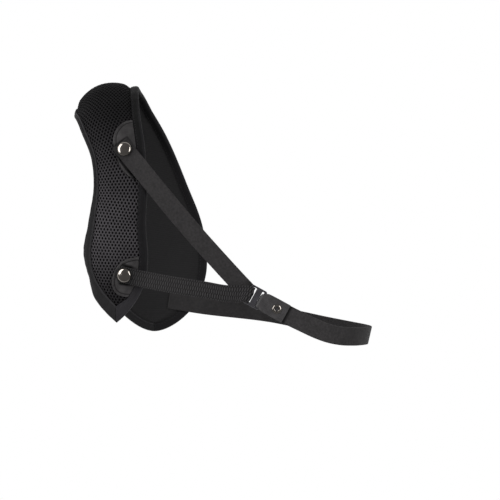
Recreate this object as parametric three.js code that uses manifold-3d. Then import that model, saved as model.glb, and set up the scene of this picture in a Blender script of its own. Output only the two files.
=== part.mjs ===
// Chest guard worn over the left shoulder. Millimetres, +Z up, the wearer faces +Y, +X is the wearer's right.
// The origin is the seat on top of the shoulder, under the middle of the padded panel.
import * as THREE from "three";
import { mergeVertices } from "three/addons/utils/BufferGeometryUtils.js";
import Module from "manifold-3d";

const wasm = await Module();
wasm.setup();

// Sizes that drive the model.
const GAP = 0.3;
const PANEL_EDGE_THICKNESS = 3.0;
const PANEL_FULL_THICKNESS = 6.4;
const PANEL_SWELL = 10.0;
const TAPE_WALL = 1.0;
const TAPE_GAP = 0.5;
const TAPE_ROUND = 0.9;
const NECK_TAPE_WIDTH = 9.0;
const PATCH_THICKNESS = 1.2;
const PATCH_GAP = 0.45;
const WEBBING_THICKNESS = 1.6;
const STRAP_GAP = 0.5;
const UPPER_STRAP_WIDTH = 20.0;
const LOWER_STRAP_WIDTH = 17.6;
const ELASTIC_WIDTH = 20.0;
const SNAP_DIAMETER = 15.2;
const SNAP_HEIGHT = 3.4;
const SNAP_RIM = 0.8;
const POST_DIAMETER = 4.0;
const POST_FOOT_DIAMETER = 11.0;
const POST_FOOT_HEIGHT = 1.2;
const FOOT_GAP = 0.6;
const RING_WIDTH = 21.6;
const RING_BAR = 3.0;
const RING_FIRST_BAR = -3.6;
const RING_SECOND_BAR = 12.0;
const RING_RAIL = 2.0;
const RING_MIDDLE_FROM = 1.7;
const RING_MIDDLE_TO = 8.3;
const RING_ROUND = 0.7;
const TAB_WIDTH = 20.6;
const TAB_FOLD_WIDTH = 17.0;
const TAB_LENGTH = 32.4;
const TAB_THICKNESS = 1.2;
const EYELET_DIAMETER = 9.6;
const EYELET_BORE = 4.4;
const EYELET_WALL = 0.7;
const EYELET_LIP = 1.1;
const EYELET_FLOOR = 0.2;
const EYELET_FROM_TAB_END = 11.0;

// The panel, a row for each section from the tip on the back, over the shoulder, to the chest.
// x, y, z give the crown line. sag is the drop of the arch 35 mm out from the crown. roll lifts the neck side,
// yaw turns the neck side backwards, curl turns the tape on the arm side inwards and lift turns the tape on the
// neck side up towards the neck (degrees).
// arm and neck are the widths from the crown line to each edge, tape is the width of the arm side tape.
const SAG_AT = 35.0;
const PANEL_ROWS = [
  { at: "tip", x: 11, y: -71, z: -242.3, roll: 0, yaw: 19, sag: 2.5, arm: 0, neck: 0, tape: 15, curl: 0, lift: 0 },
  { at: "point", x: 11, y: -73, z: -235, roll: 0, yaw: 19, sag: 2.6, arm: 9.6, neck: 8, tape: 15, curl: 2, lift: 0 },
  { at: "low", x: 11, y: -77, z: -217, roll: 0, yaw: 18, sag: 3, arm: 27.6, neck: 22.4, tape: 15, curl: 12, lift: 0 },
  { at: "snap", x: 11, y: -81, z: -195, roll: 0, yaw: 17, sag: 3.4, arm: 36.8, neck: 32.4, tape: 12, curl: 44, lift: 0 },
  { at: "flare", x: 11, y: -83, z: -173, roll: 0, yaw: 16, sag: 3.8, arm: 42, neck: 34.5, tape: 13, curl: 32, lift: 0 },
  { at: "ribs", x: 12, y: -86, z: -140, roll: 0, yaw: 14, sag: 4, arm: 34.1, neck: 31.4, tape: 9, curl: 18, lift: 0 },
  { at: "waist", x: 15, y: -87, z: -100, roll: 0, yaw: 12, sag: 4, arm: 29.6, neck: 29.4, tape: 6, curl: 6, lift: 0 },
  { at: "blade", x: 11.5, y: -83, z: -60, roll: 5, yaw: 10, sag: 6, arm: 29.6, neck: 30.4, tape: 6, curl: 0, lift: 4 },
  { at: "bend", x: 1.5, y: -66, z: -22, roll: 9, yaw: 6, sag: 11, arm: 35.2, neck: 34, tape: 6, curl: 0, lift: 16 },
  { at: "rear", x: -2, y: -38, z: 6, roll: 9, yaw: 3, sag: 17, arm: 48.5, neck: 34.2, tape: 6, curl: 0, lift: 36 },
  { at: "top", x: -4, y: -4, z: 17, roll: 8, yaw: 0, sag: 20, arm: 50, neck: 35, tape: 6, curl: 0, lift: 43 },
  { at: "fore", x: -3, y: 30, z: 10, roll: 9, yaw: -5, sag: 16, arm: 46, neck: 36, tape: 6, curl: 0, lift: 34 },
  { at: "collar", x: 5, y: 58, z: -15, roll: 8, yaw: -10, sag: 9, arm: 41, neck: 38, tape: 7, curl: 0, lift: 12 },
  { at: "chest_top", x: 16, y: 76, z: -50, roll: 4, yaw: -14, sag: 6, arm: 39, neck: 45, tape: 8, curl: 0, lift: 0 },
  { at: "chest_mid", x: 27, y: 89, z: -98, roll: 0, yaw: -16, sag: 4.5, arm: 49, neck: 54, tape: 8, curl: 0, lift: 0 },
  { at: "chest_full", x: 35, y: 97, z: -150, roll: 0, yaw: -16, sag: 4, arm: 64, neck: 65, tape: 9, curl: 0, lift: 0 },
  { at: "chest_low", x: 39, y: 98, z: -200, roll: 0, yaw: -16, sag: 4, arm: 59, neck: 63, tape: 9, curl: 0, lift: 0 },
  { at: "chest_round", x: 41, y: 95, z: -238, roll: 0, yaw: -16, sag: 4, arm: 38, neck: 42, tape: 9, curl: 0, lift: 0 },
  { at: "chest_end", x: 42, y: 92, z: -259, roll: 0, yaw: -16, sag: 4, arm: 0, neck: 0, tape: 9, curl: 0, lift: 0 },
];
const FOLD_ROUND = 6.0;
const FOLD_NEAREST = -4.0;

// Spacing of the panel's sections: finer where it bends over the shoulder.
const STATION_STEPS = [
  { upTo: 205, step: 12 },
  { upTo: 365, step: 8 },
  { upTo: 700, step: 13 },
];

// At the tip the two tapes meet at one inner corner, and come to their own widths over this run.
const TIP_CORNER = 18.5;
const TIP_RUN = 30.0;

// The shallow dent that runs across the panel where it bends from the shoulder down to the back.
const DENT = { along: 259, depth: 1.4, reach: 12 };

// The D-shaped patches lie along the neck side tape: from and to are distances up the crown line from the tip.
const UPPER_PATCH = { from: 153, to: 214, bulge: 22.8, fullest: 0.66 };
const LOWER_PATCH = { from: 29.5, to: 72, bulge: 26, fullest: 0.5 };
const PATCH_END = 0.12;

// Where the two caps sit on the panel: up the crown line from the tip and across to the neck side.
const UPPER_SNAP = { along: 182.8, across: 9.4 };
const LOWER_SNAP = { along: 52.8, across: 11.0 };

// The ring, on the middle of the back: its bars lie along the pull from here, which falls to the right (degrees).
const RING_AT = new THREE.Vector3(155.0, -104.0, -212.4);
const RING_FALL = 28.8;

// Way of the webbing from the panel's edge to the ring, a row for each section.
const UPPER_STRAP_ROWS = [
  { at: "edge", x: 44.5, y: -96.4, z: -87.8 },
  { at: "blade", x: 67.6, y: -101.6, z: -115.9 },
  { at: "middle", x: 92.6, y: -104.2, z: -145.3 },
  { at: "low", x: 118.9, y: -104.6, z: -174.8 },
  { at: "crossing", x: 138.7, y: -104.2, z: -196.4 },
  { at: "end", x: 148.1, y: -104.1, z: -206.4 },
];
const UPPER_STRAP_TAIL = 8.8;
const LOWER_STRAP_ROWS = [
  { at: "edge", x: 44.5, y: -95, z: -196.6 },
  { at: "left", x: 77.8, y: -102.6, z: -202.5 },
  { at: "middle", x: 106.6, y: -106, z: -206.8 },
  { at: "right", x: 131, y: -107, z: -210.6 },
];
const LOWER_STRAP_TAIL = 9.2;
const LOWER_STRAP_TAIL_WIDTH = 9.0;
const LOWER_STRAP_RETURN = 27.0;
const LOWER_STRAP_LOOP_WIDTH = 17.0;
const BACK_TURN = 14.0;
const BACK_TURN_AT = 105.0;

// The elastic follows the torso: turn is 0 at the middle of the back, 90 at the right side, 180 at the breastbone.
const TORSO = { x: 150, halfWidth: 135.2, back: 106, front: 100, squareness: 2.4, taper: 13 };
const ELASTIC_ROWS = [
  { turn: 22.4, z: -242 },
  { turn: 29, z: -248.4 },
  { turn: 36, z: -253.3 },
  { turn: 44.5, z: -256.4 },
  { turn: 55, z: -257.7 },
  { turn: 70, z: -258.2 },
  { turn: 90, z: -258.6 },
  { turn: 108, z: -258 },
  { turn: 126, z: -255.6 },
  { turn: 142, z: -251.6 },
  { turn: 156, z: -246.2 },
  { turn: 168, z: -240.6 },
];
const ELASTIC_IN_TAB = 25.0;
// The elastic's front end lies on the inner face of the chest panel, below its tape.
const ELASTIC_END = { along: 602, over: 6, reach: 36, rise: 0.2, below: 4.4 };

const RAD = Math.PI / 180;

// A smooth curve through a table of values: cubic pieces with slopes taken from the neighbouring rows.
function smooth(knots, values) {
  const last = knots.length - 1;
  const rise = (i) => (values[i + 1] - values[i]) / (knots[i + 1] - knots[i]);
  const slope = values.map((_, i) => {
    if (i === 0) return rise(0);
    if (i === last) return rise(last - 1);
    const before = knots[i] - knots[i - 1];
    const after = knots[i + 1] - knots[i];
    return (rise(i - 1) * after + rise(i) * before) / (before + after);
  });
  return (t) => {
    let i = 0;
    while (i < last - 1 && t > knots[i + 1]) i += 1;
    const span = knots[i + 1] - knots[i];
    const f = (t - knots[i]) / span;
    const g = 1 - f;
    const start = values[i] * (1 + 2 * f) + slope[i] * span * f;
    const end = values[i + 1] * (1 + 2 * g) - slope[i + 1] * span * g;
    return start * g * g + end * f * f;
  };
}

// Distances along a row of points, from the first one.
function running(points) {
  const sums = [0];
  for (let i = 1; i < points.length; i += 1) {
    sums.push(sums[i - 1] + points[i].distanceTo(points[i - 1]));
  }
  return sums;
}

// A smooth run of vectors over given knots.
function smoothVectors(knots, vectors) {
  const x = smooth(knots, vectors.map((v) => v.x));
  const y = smooth(knots, vectors.map((v) => v.y));
  const z = smooth(knots, vectors.map((v) => v.z));
  return (t) => new THREE.Vector3(x(t), y(t), z(t));
}

function ease(f) {
  const t = Math.min(1, Math.max(0, f));
  return t * t * (3 - 2 * t);
}

function between(a, b, f) {
  return a.clone().lerp(b, f);
}

// The panel's middle surface.
const CROWN = running(PANEL_ROWS.map((r) => new THREE.Vector3(r.x, r.y, r.z)));
const CROWN_LENGTH = CROWN[CROWN.length - 1];
const column = (name) => smooth(CROWN, PANEL_ROWS.map((r) => r[name]));
const crownPoint = smoothVectors(CROWN, PANEL_ROWS.map((r) => new THREE.Vector3(r.x, r.y, r.z)));
const crownRoll = column("roll");
const crownYaw = column("yaw");
const crownSag = column("sag");
const crownCurl = column("curl");
const crownLift = column("lift");
const armWidth = column("arm");
const neckWidth = column("neck");
const tapeWidth = column("tape");
const SECTION_STEPS = 16;

// A point of the panel: along the crown line, across from it to the neck side, raised off the middle surface.
function onPanel(along, across, raised = 0) {
  const step = 0.5;
  const tangent = crownPoint(along + step).sub(crownPoint(along - step)).normalize();
  const roll = crownRoll(along) * RAD;
  const yaw = crownYaw(along) * RAD;
  const level = Math.cos(roll);
  const side = new THREE.Vector3(level * Math.cos(yaw), -level * Math.sin(yaw), Math.sin(roll));
  const out = side.clone().cross(tangent).normalize();
  side.crossVectors(tangent, out).normalize();
  const sag = crownSag(along);
  const bend = (2 * sag) / (SAG_AT * SAG_AT + sag * sag);
  const curl = crownCurl(along) * RAD;
  const fold = Math.min(FOLD_NEAREST, tapeWidth(along) - armWidth(along));
  const lift = crownLift(along) * RAD;
  const rising = neckWidth(along) - NECK_TAPE_WIDTH - FOLD_ROUND / 2;
  const curled = (w) => curl * ease((fold - w) / FOLD_ROUND) + lift * ease((w - rising) / FOLD_ROUND);
  const lean = (w) => bend * w - curled(w);
  const part = across / SECTION_STEPS;
  let reach = 0;
  let drop = 0;
  for (let k = 0; k < SECTION_STEPS; k += 1) {
    const angle = lean(part * (k + 0.5));
    reach += Math.cos(angle) * part;
    drop += Math.sin(angle) * part;
  }
  const turn = lean(across);
  const normal = out.clone().multiplyScalar(Math.cos(turn)).addScaledVector(side, Math.sin(turn));
  const point = crownPoint(along).addScaledVector(side, reach).addScaledVector(out, -drop);
  return { point: point.addScaledVector(normal, raised), normal };
}

// The outline in the flat, x along the crown line and y across: up the neck side, round the chest, down the arm side.
const neckRows = PANEL_ROWS.map((r, i) => new THREE.Vector3(CROWN[i], r.neck, 0));
const armRows = PANEL_ROWS.map((r, i) => new THREE.Vector3(CROWN[i], -r.arm, 0));
const outlineRows = [...neckRows, ...armRows.slice(0, -1).reverse()];
const outlineKnots = running(outlineRows);
const outlineAt = smoothVectors(outlineKnots, outlineRows);
const OUTLINE_LENGTH = outlineKnots[outlineKnots.length - 1];
const CHEST_END_AT = outlineKnots[neckRows.length - 1];

// The point of an edge at a distance from the tip, and the way inwards from it.
function edgeAt(onNeck, fromTip) {
  const t = onNeck ? fromTip : OUTLINE_LENGTH - fromTip;
  const step = 0.4;
  const way = outlineAt(Math.min(OUTLINE_LENGTH, t + step)).sub(outlineAt(Math.max(0, t - step)));
  way.normalize();
  return { here: outlineAt(t), inward: new THREE.Vector3(way.y, -way.x, 0) };
}

// Distance from the tip at which an edge has come a given way along the crown line.
function edgeDistance(onNeck, along) {
  let low = 0;
  let high = onNeck ? CHEST_END_AT : OUTLINE_LENGTH - CHEST_END_AT;
  for (let k = 0; k < 40; k += 1) {
    const middle = (low + high) / 2;
    if (edgeAt(onNeck, middle).here.x < along) low = middle;
    else high = middle;
  }
  return (low + high) / 2;
}

// The edge and the tape's inner line at one station, in the flat.
function tapeAt(onNeck, fromTip) {
  const inner = (t) => {
    const { here, inward } = edgeAt(onNeck, t);
    return here.clone().addScaledVector(inward, onNeck ? NECK_TAPE_WIDTH : tapeWidth(here.x));
  };
  const outer = edgeAt(onNeck, fromTip).here;
  const corner = new THREE.Vector3(TIP_CORNER, 0, 0);
  const line = fromTip < TIP_RUN ? between(corner, inner(TIP_RUN), fromTip / TIP_RUN) : inner(fromTip);
  return { outer, line };
}

// Stations up the neck edge, each with its partner on the arm edge the same way along the crown line.
const stations = [];
let walked = 0;
while (walked < CHEST_END_AT - 4) {
  const neckHere = walked;
  const armHere = walked === 0 ? 0 : edgeDistance(false, edgeAt(true, neckHere).here.x);
  stations.push({ neck: tapeAt(true, neckHere), arm: tapeAt(false, armHere) });
  walked += STATION_STEPS.find((s) => walked < s.upTo).step * (walked < TIP_RUN ? 0.5 : 1);
}
const chestEnd = new THREE.Vector3(CROWN_LENGTH, 0, 0);
const chestLine = new THREE.Vector3(CROWN_LENGTH - NECK_TAPE_WIDTH, 0, 0);
stations.push({ neck: { outer: chestEnd, line: chestLine }, arm: { outer: chestEnd, line: chestLine } });

// Where the neck side tape's inner line lies across the panel.
function neckLine(along) {
  let i = 1;
  while (i < stations.length - 1 && stations[i].neck.line.x < along) i += 1;
  const a = stations[i - 1].neck.line;
  const b = stations[i].neck.line;
  return a.y + ((b.y - a.y) * (along - a.x)) / (b.x - a.x);
}

function armLine(along) {
  let i = 1;
  while (i < stations.length - 1 && stations[i].arm.line.x < along) i += 1;
  const a = stations[i - 1].arm.line;
  const b = stations[i].arm.line;
  return a.y + ((b.y - a.y) * (along - a.x)) / (b.x - a.x);
}

// Half the panel's thickness: thin under the tapes, full in the middle, with the dent on the outer face.
function panelHalf(along, fromTape, onOuter) {
  const swell = (PANEL_FULL_THICKNESS - PANEL_EDGE_THICKNESS) * ease(fromTape / PANEL_SWELL);
  const dented = DENT.depth * Math.exp(-(((along - DENT.along) / DENT.reach) ** 2)) * ease(fromTape / PANEL_SWELL);
  return (PANEL_EDGE_THICKNESS + swell) / 2 - (onOuter ? dented : 0);
}

function panelOuter(along, across) {
  const fromTape = Math.min(neckLine(along) - across, across - armLine(along));
  return panelHalf(along, Math.max(0, fromTape), true);
}

// Makes one closed body from points and faces: joins equal points, drops empty faces and turns them outwards.
function closedBody(points, faces) {
  const loose = new THREE.BufferGeometry();
  loose.setAttribute("position", new THREE.Float32BufferAttribute(points.flatMap((p) => p.toArray()), 3));
  loose.setIndex(faces.flat());
  const merged = mergeVertices(loose, 1e-3);
  const index = merged.index.array;
  const kept = [];
  const p = merged.attributes.position;
  const corners = [new THREE.Vector3(), new THREE.Vector3(), new THREE.Vector3()];
  let volume = 0;
  for (let i = 0; i < index.length; i += 3) {
    const face = [index[i], index[i + 1], index[i + 2]];
    if (face[0] === face[1] || face[1] === face[2] || face[2] === face[0]) continue;
    face.forEach((v, k) => corners[k].fromBufferAttribute(p, v));
    volume += corners[0].dot(corners[1].clone().cross(corners[2]));
    kept.push(face);
  }
  merged.setIndex(kept.flatMap((f) => (volume < 0 ? [f[0], f[2], f[1]] : f)));
  return merged;
}

// Two facing grids of points joined round their rim.
function slab(upper, lower) {
  const rows = upper.length;
  const cols = upper[0].length;
  const points = [...upper.flat(), ...lower.flat()];
  const faces = [];
  const at = (i, j, under) => (under ? rows * cols : 0) + i * cols + j;
  const quad = (a, b, c, d) => faces.push([a, b, c], [a, c, d]);
  for (let i = 0; i < rows - 1; i += 1) {
    for (let j = 0; j < cols - 1; j += 1) {
      quad(at(i, j, 0), at(i, j + 1, 0), at(i + 1, j + 1, 0), at(i + 1, j, 0));
      quad(at(i, j, 1), at(i + 1, j, 1), at(i + 1, j + 1, 1), at(i, j + 1, 1));
    }
  }
  const rim = [];
  for (let j = 0; j < cols; j += 1) rim.push([0, j]);
  for (let i = 1; i < rows; i += 1) rim.push([i, cols - 1]);
  for (let j = cols - 2; j >= 0; j -= 1) rim.push([rows - 1, j]);
  for (let i = rows - 2; i > 0; i -= 1) rim.push([i, 0]);
  rim.forEach(([i, j], k) => {
    const [m, n] = rim[(k + 1) % rim.length];
    quad(at(i, j, 0), at(i, j, 1), at(m, n, 1), at(m, n, 0));
  });
  return closedBody(points, faces);
}

// Rings of points joined one to the next and closed at both ends by a flat outline's triangles.
function loft(rings, flat) {
  const count = rings[0].length;
  const faces = [];
  for (let i = 0; i < rings.length - 1; i += 1) {
    for (let j = 0; j < count; j += 1) {
      const k = (j + 1) % count;
      const low = i * count;
      const high = low + count;
      faces.push([low + j, low + k, high + k], [low + j, high + k, high + j]);
    }
  }
  const top = (rings.length - 1) * count;
  THREE.ShapeUtils.triangulateShape(flat, []).forEach(([a, b, c]) => {
    faces.push([a, c, b], [top + a, top + b, top + c]);
  });
  return closedBody(rings.flat(), faces);
}

// A turned body about a point and axis. The profile rows are radius and height, running upwards on the outside.
function turned(profile, at, axis, segments) {
  const frame = new THREE.Quaternion().setFromUnitVectors(new THREE.Vector3(0, 0, 1), axis.clone().normalize());
  const points = [];
  const faces = [];
  for (let s = 0; s < segments; s += 1) {
    const angle = (2 * Math.PI * s) / segments;
    profile.forEach(([r, h]) => {
      const p = new THREE.Vector3(r * Math.cos(angle), r * Math.sin(angle), h);
      points.push(p.applyQuaternion(frame).add(at));
    });
  }
  const count = profile.length;
  for (let s = 0; s < segments; s += 1) {
    const here = s * count;
    const next = ((s + 1) % segments) * count;
    for (let j = 0; j < count; j += 1) {
      const k = (j + 1) % count;
      faces.push([here + j, next + j, next + k], [here + j, next + k, here + k]);
    }
  }
  return closedBody(points, faces);
}

// A flat strap through rows of point, normal and, where set, the direction across and the width.
function ribbon(rows, width, thickness, step) {
  const knots = running(rows.map((r) => r.point));
  const path = smoothVectors(knots, rows.map((r) => r.point));
  const last = knots[knots.length - 1];
  const way = (t) => path(Math.min(last, t + 0.2)).sub(path(Math.max(0, t - 0.2))).normalize();
  const acrosses = rows.map((r, i) => r.across || r.normal.clone().cross(way(knots[i])).normalize());
  const acrossAt = smoothVectors(knots, acrosses);
  const widthAt = smooth(knots, rows.map((r) => r.width || width));
  const stops = [0];
  knots.slice(1).forEach((k, i) => {
    const parts = Math.max(1, Math.round((k - knots[i]) / step));
    for (let p = 1; p <= parts; p += 1) stops.push(knots[i] + ((k - knots[i]) * p) / parts);
  });
  const rings = stops.map((t) => {
    const across = acrossAt(t).normalize();
    const out = way(t).cross(across).normalize();
    const corner = (a, b) =>
      path(t).addScaledVector(across, (a * widthAt(t)) / 2).addScaledVector(out, (b * thickness) / 2);
    return [corner(-1, -1), corner(1, -1), corner(1, 1), corner(-1, 1)];
  });
  const flat = [[-1, -1], [1, -1], [1, 1], [-1, 1]].map(([a, b]) => new THREE.Vector2(a, b));
  return { body: loft(rings, flat), path, way, acrossAt, last, knots };
}

function solidOf(geometry) {
  const bare = new THREE.BufferGeometry();
  bare.setAttribute("position", geometry.getAttribute("position"));
  if (geometry.index) bare.setIndex(geometry.index);
  const merged = mergeVertices(bare, 1e-4);
  const mesh = new wasm.Mesh({
    numProp: 3,
    vertProperties: new Float32Array(merged.attributes.position.array),
    triVerts: new Uint32Array(merged.index.array),
  });
  return new wasm.Manifold(mesh);
}

function geometryOf(solid) {
  const mesh = solid.getMesh();
  const geometry = new THREE.BufferGeometry();
  geometry.setAttribute("position", new THREE.Float32BufferAttribute(Array.from(mesh.vertProperties), 3));
  geometry.setIndex(Array.from(mesh.triVerts));
  return geometry;
}

// Cuts a round hole through bodies, wide enough for a post to pass with the gap all round.
function bored(geometry, at, axis, radius, reach) {
  const profile = [[0, -reach], [radius, -reach], [radius, reach], [0, reach]];
  return geometryOf(solidOf(geometry).subtract(solidOf(turned(profile, at, axis, 16))));
}

// Panel: under each tape three columns of points, between the tapes a row of columns that swell to full.
const INNER_COLUMNS = [0.09, 0.19, 0.31, 0.44, 0.56, 0.69, 0.81, 0.91];
const inset = TAPE_WALL + TAPE_GAP;

function panelRow({ neck, arm }, onOuter) {
  const flat = [];
  const put = (p, fromTape) => {
    const half = panelHalf(p.x, fromTape, onOuter);
    flat.push(onPanel(p.x, p.y, onOuter ? half : -half).point);
  };
  const armInset = inset / tapeWidth(arm.outer.x);
  const neckInset = inset / NECK_TAPE_WIDTH;
  put(between(arm.outer, arm.line, armInset), 0);
  put(between(arm.outer, arm.line, 0.5), 0);
  put(arm.line, 0);
  INNER_COLUMNS.forEach((f) => {
    const p = between(arm.line, neck.line, f);
    put(p, Math.min(p.distanceTo(arm.line), p.distanceTo(neck.line)));
  });
  put(neck.line, 0);
  put(between(neck.outer, neck.line, 0.5), 0);
  put(between(neck.outer, neck.line, neckInset), 0);
  return flat;
}

let panel = slab(stations.map((s) => panelRow(s, true)), stations.map((s) => panelRow(s, false)));

// Tape folded over an edge: a lip on each face and a rounded fold outside.
const tapeInner = PANEL_EDGE_THICKNESS / 2 + TAPE_GAP;
const tapeOuter = tapeInner + TAPE_WALL;
const tapeProfile = [
  { in: 1, wall: 0, up: tapeOuter },
  { in: 0.5, wall: 0, up: tapeOuter },
  { in: 0, wall: TAPE_ROUND, up: tapeOuter },
  { in: 0, wall: 0, up: tapeOuter - TAPE_ROUND },
  { in: 0, wall: 0, up: TAPE_ROUND - tapeOuter },
  { in: 0, wall: TAPE_ROUND, up: -tapeOuter },
  { in: 0.5, wall: 0, up: -tapeOuter },
  { in: 1, wall: 0, up: -tapeOuter },
  { in: 1, wall: 0, up: -tapeInner },
  { in: 0.5, wall: 0, up: -tapeInner },
  { in: 0, wall: TAPE_WALL, up: -tapeInner },
  { in: 0, wall: TAPE_WALL, up: tapeInner },
  { in: 0.5, wall: 0, up: tapeInner },
  { in: 1, wall: 0, up: tapeInner },
];

function tape(onNeck) {
  const sign = onNeck ? 1 : -1;
  const flat = tapeProfile.map((p) => new THREE.Vector2(p.in * 10 + p.wall, p.up));
  const rings = stations.map((s, i) => {
    const { outer, line } = onNeck ? s.neck : s.arm;
    const width = onNeck ? NECK_TAPE_WIDTH : tapeWidth(outer.x);
    const atEnd = i === 0 || i === stations.length - 1;
    return tapeProfile.map((p) => {
      const q = between(outer, line, p.in + p.wall / width);
      const across = atEnd ? (sign * GAP) / 2 : q.y;
      return onPanel(q.x, across, p.up).point;
    });
  });
  return loft(rings, flat);
}
const neckTape = tape(true);
const armTape = tape(false);

// A D-shaped patch on the panel's outer face, its straight side along the neck side tape.
const PATCH_ROWS = 11;
const PATCH_COLUMNS = 5;
function patch({ from, to, bulge, fullest }) {
  const grid = (lift) => {
    const rows = [];
    for (let i = 0; i <= PATCH_ROWS; i += 1) {
      const f = (1 - Math.cos((Math.PI * i) / PATCH_ROWS)) / 2;
      const g = f < fullest ? f / fullest - 1 : (f - fullest) / (1 - fullest);
      const depth = bulge * Math.max(PATCH_END, Math.sqrt(1 - g * g));
      const along = from + (to - from) * f;
      const row = [];
      for (let j = 0; j <= PATCH_COLUMNS; j += 1) {
        const across = neckLine(along) - GAP - (depth * j) / PATCH_COLUMNS;
        row.push(onPanel(along, across, panelOuter(along, across) + PATCH_GAP + lift).point);
      }
      rows.push(row);
    }
    return rows;
  };
  return slab(grid(PATCH_THICKNESS), grid(0));
}
let upperPatch = patch(UPPER_PATCH);
let lowerPatch = patch(LOWER_PATCH);

// Heights of a strap's middle and of a cap's seat over the panel's middle surface at a cap.
function capSeat({ along, across }) {
  const strap = panelOuter(along, across) + PATCH_GAP + PATCH_THICKNESS + STRAP_GAP + WEBBING_THICKNESS / 2;
  const { point, normal } = onPanel(along, across, strap);
  return { point, normal, strap };
}

// The straps' own normal on the back, which turns a little towards the arm.
function backNormal(x) {
  const turn = (BACK_TURN * RAD * (TORSO.x - x)) / BACK_TURN_AT;
  return new THREE.Vector3(-Math.sin(turn), -Math.cos(turn), 0);
}

function backRow({ x, y, z }) {
  return { point: new THREE.Vector3(x, y, z), normal: backNormal(x) };
}

// From a cap: the tail beyond it, then the cap, lying flat on the patch.
function startAtCap(seat, towards, tail) {
  const way = towards.clone().sub(seat.point);
  way.addScaledVector(seat.normal, -way.dot(seat.normal)).normalize();
  const end = seat.point.clone().addScaledVector(way, -tail);
  const half = seat.point.clone().addScaledVector(way, -tail / 2);
  const ahead = seat.point.clone().addScaledVector(way, tail * 0.8);
  return [end, half, seat.point, ahead].map((point) => ({ point, normal: seat.normal }));
}

// The ring's own frame: pull runs to the right and down, bar lies along the bars, out faces backwards.
const fall = RING_FALL * RAD;
const pull = new THREE.Vector3(Math.cos(fall), 0, -Math.sin(fall));
const bar = new THREE.Vector3(Math.sin(fall), 0, Math.cos(fall));
const out = new THREE.Vector3(0, -1, 0);
const inRing = (u, h) => RING_AT.clone().addScaledVector(pull, u).addScaledVector(out, h);

const upperSeat = capSeat(UPPER_SNAP);
const upperRows = UPPER_STRAP_ROWS.map(backRow);
let upperStrap = ribbon(
  [...startAtCap(upperSeat, upperRows[0].point, UPPER_STRAP_TAIL), ...upperRows],
  UPPER_STRAP_WIDTH,
  WEBBING_THICKNESS,
  9,
).body;

// The lower strap goes round the ring's first bar and back under itself, with the upper strap's end between.
const lowerSeat = capSeat(LOWER_SNAP);
const lowerRows = LOWER_STRAP_ROWS.map(backRow);
const loopRadius = RING_BAR / 2 + STRAP_GAP + WEBBING_THICKNESS / 2;
const pinched = WEBBING_THICKNESS + GAP;
const firstBar = inRing(RING_FIRST_BAR, 0);
const loopRows = [];
for (let k = 0; k <= 8; k += 1) {
  const angle = ((90 - (180 * k) / 8) * Math.PI) / 180;
  const normal = pull.clone().multiplyScalar(Math.cos(angle)).addScaledVector(out, Math.sin(angle));
  const point = firstBar.clone().addScaledVector(normal, loopRadius);
  loopRows.push({ point, normal, across: bar, width: LOWER_STRAP_LOOP_WIDTH });
}
const backWay = lowerRows[lowerRows.length - 1].point.clone().sub(firstBar).setY(0).normalize();
const backAcross = backWay.clone().cross(out).normalize().multiplyScalar(-1);
if (backAcross.z < 0) backAcross.negate();
const inStrap = (u, h) => firstBar.clone().addScaledVector(backWay, u).addScaledVector(out, h);
const lowerStart = startAtCap(lowerSeat, lowerRows[0].point, LOWER_STRAP_TAIL);
lowerStart[0].width = LOWER_STRAP_TAIL_WIDTH;
let lowerStrap = ribbon(
  [
    ...lowerStart,
    ...lowerRows,
    { point: inStrap(9, pinched + STRAP_GAP), normal: out, across: between(backAcross, bar, 0.6).normalize() },
    ...loopRows,
    { point: inStrap(9, -pinched - STRAP_GAP), normal: out.clone().negate(), across: between(backAcross, bar, 0.6).normalize() },
    { point: inStrap(LOWER_STRAP_RETURN, -pinched), normal: out.clone().negate(), across: backAcross },
  ],
  LOWER_STRAP_WIDTH,
  WEBBING_THICKNESS,
  9,
).body;

// Cap, post and foot of a snap in one, from the strap's top through to the inner face of the panel.
function snap(seat, { along, across }) {
  const inner = panelHalf(along, PANEL_SWELL, false);
  const seatHeight = WEBBING_THICKNESS / 2 + GAP;
  const foot = -(seat.strap + inner + FOOT_GAP);
  const radius = SNAP_DIAMETER / 2;
  const post = POST_DIAMETER / 2;
  const profile = [
    [0, foot - POST_FOOT_HEIGHT],
    [POST_FOOT_DIAMETER / 2, foot - POST_FOOT_HEIGHT],
    [POST_FOOT_DIAMETER / 2, foot],
    [post, foot],
    [post, seatHeight],
    [radius, seatHeight],
  ];
  const domeRows = 6;
  for (let k = 0; k <= domeRows; k += 1) {
    const angle = (Math.PI / 2) * (k / domeRows);
    profile.push([radius * Math.cos(angle), seatHeight + SNAP_RIM + (SNAP_HEIGHT - SNAP_RIM) * Math.sin(angle)]);
  }
  return turned(profile, seat.point, seat.normal, 20);
}
const upperSnap = snap(upperSeat, UPPER_SNAP);
const lowerSnap = snap(lowerSeat, LOWER_SNAP);
const postHole = POST_DIAMETER / 2 + GAP;
upperStrap = bored(upperStrap, upperSeat.point, upperSeat.normal, postHole, 4);
lowerStrap = bored(lowerStrap, lowerSeat.point, lowerSeat.normal, postHole, 4);
upperPatch = bored(upperPatch, upperSeat.point, upperSeat.normal, postHole, 6);
lowerPatch = bored(lowerPatch, lowerSeat.point, lowerSeat.normal, postHole, 6);
panel = bored(panel, upperSeat.point, upperSeat.normal, postHole, 16);
panel = bored(panel, lowerSeat.point, lowerSeat.normal, postHole, 16);

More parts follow.
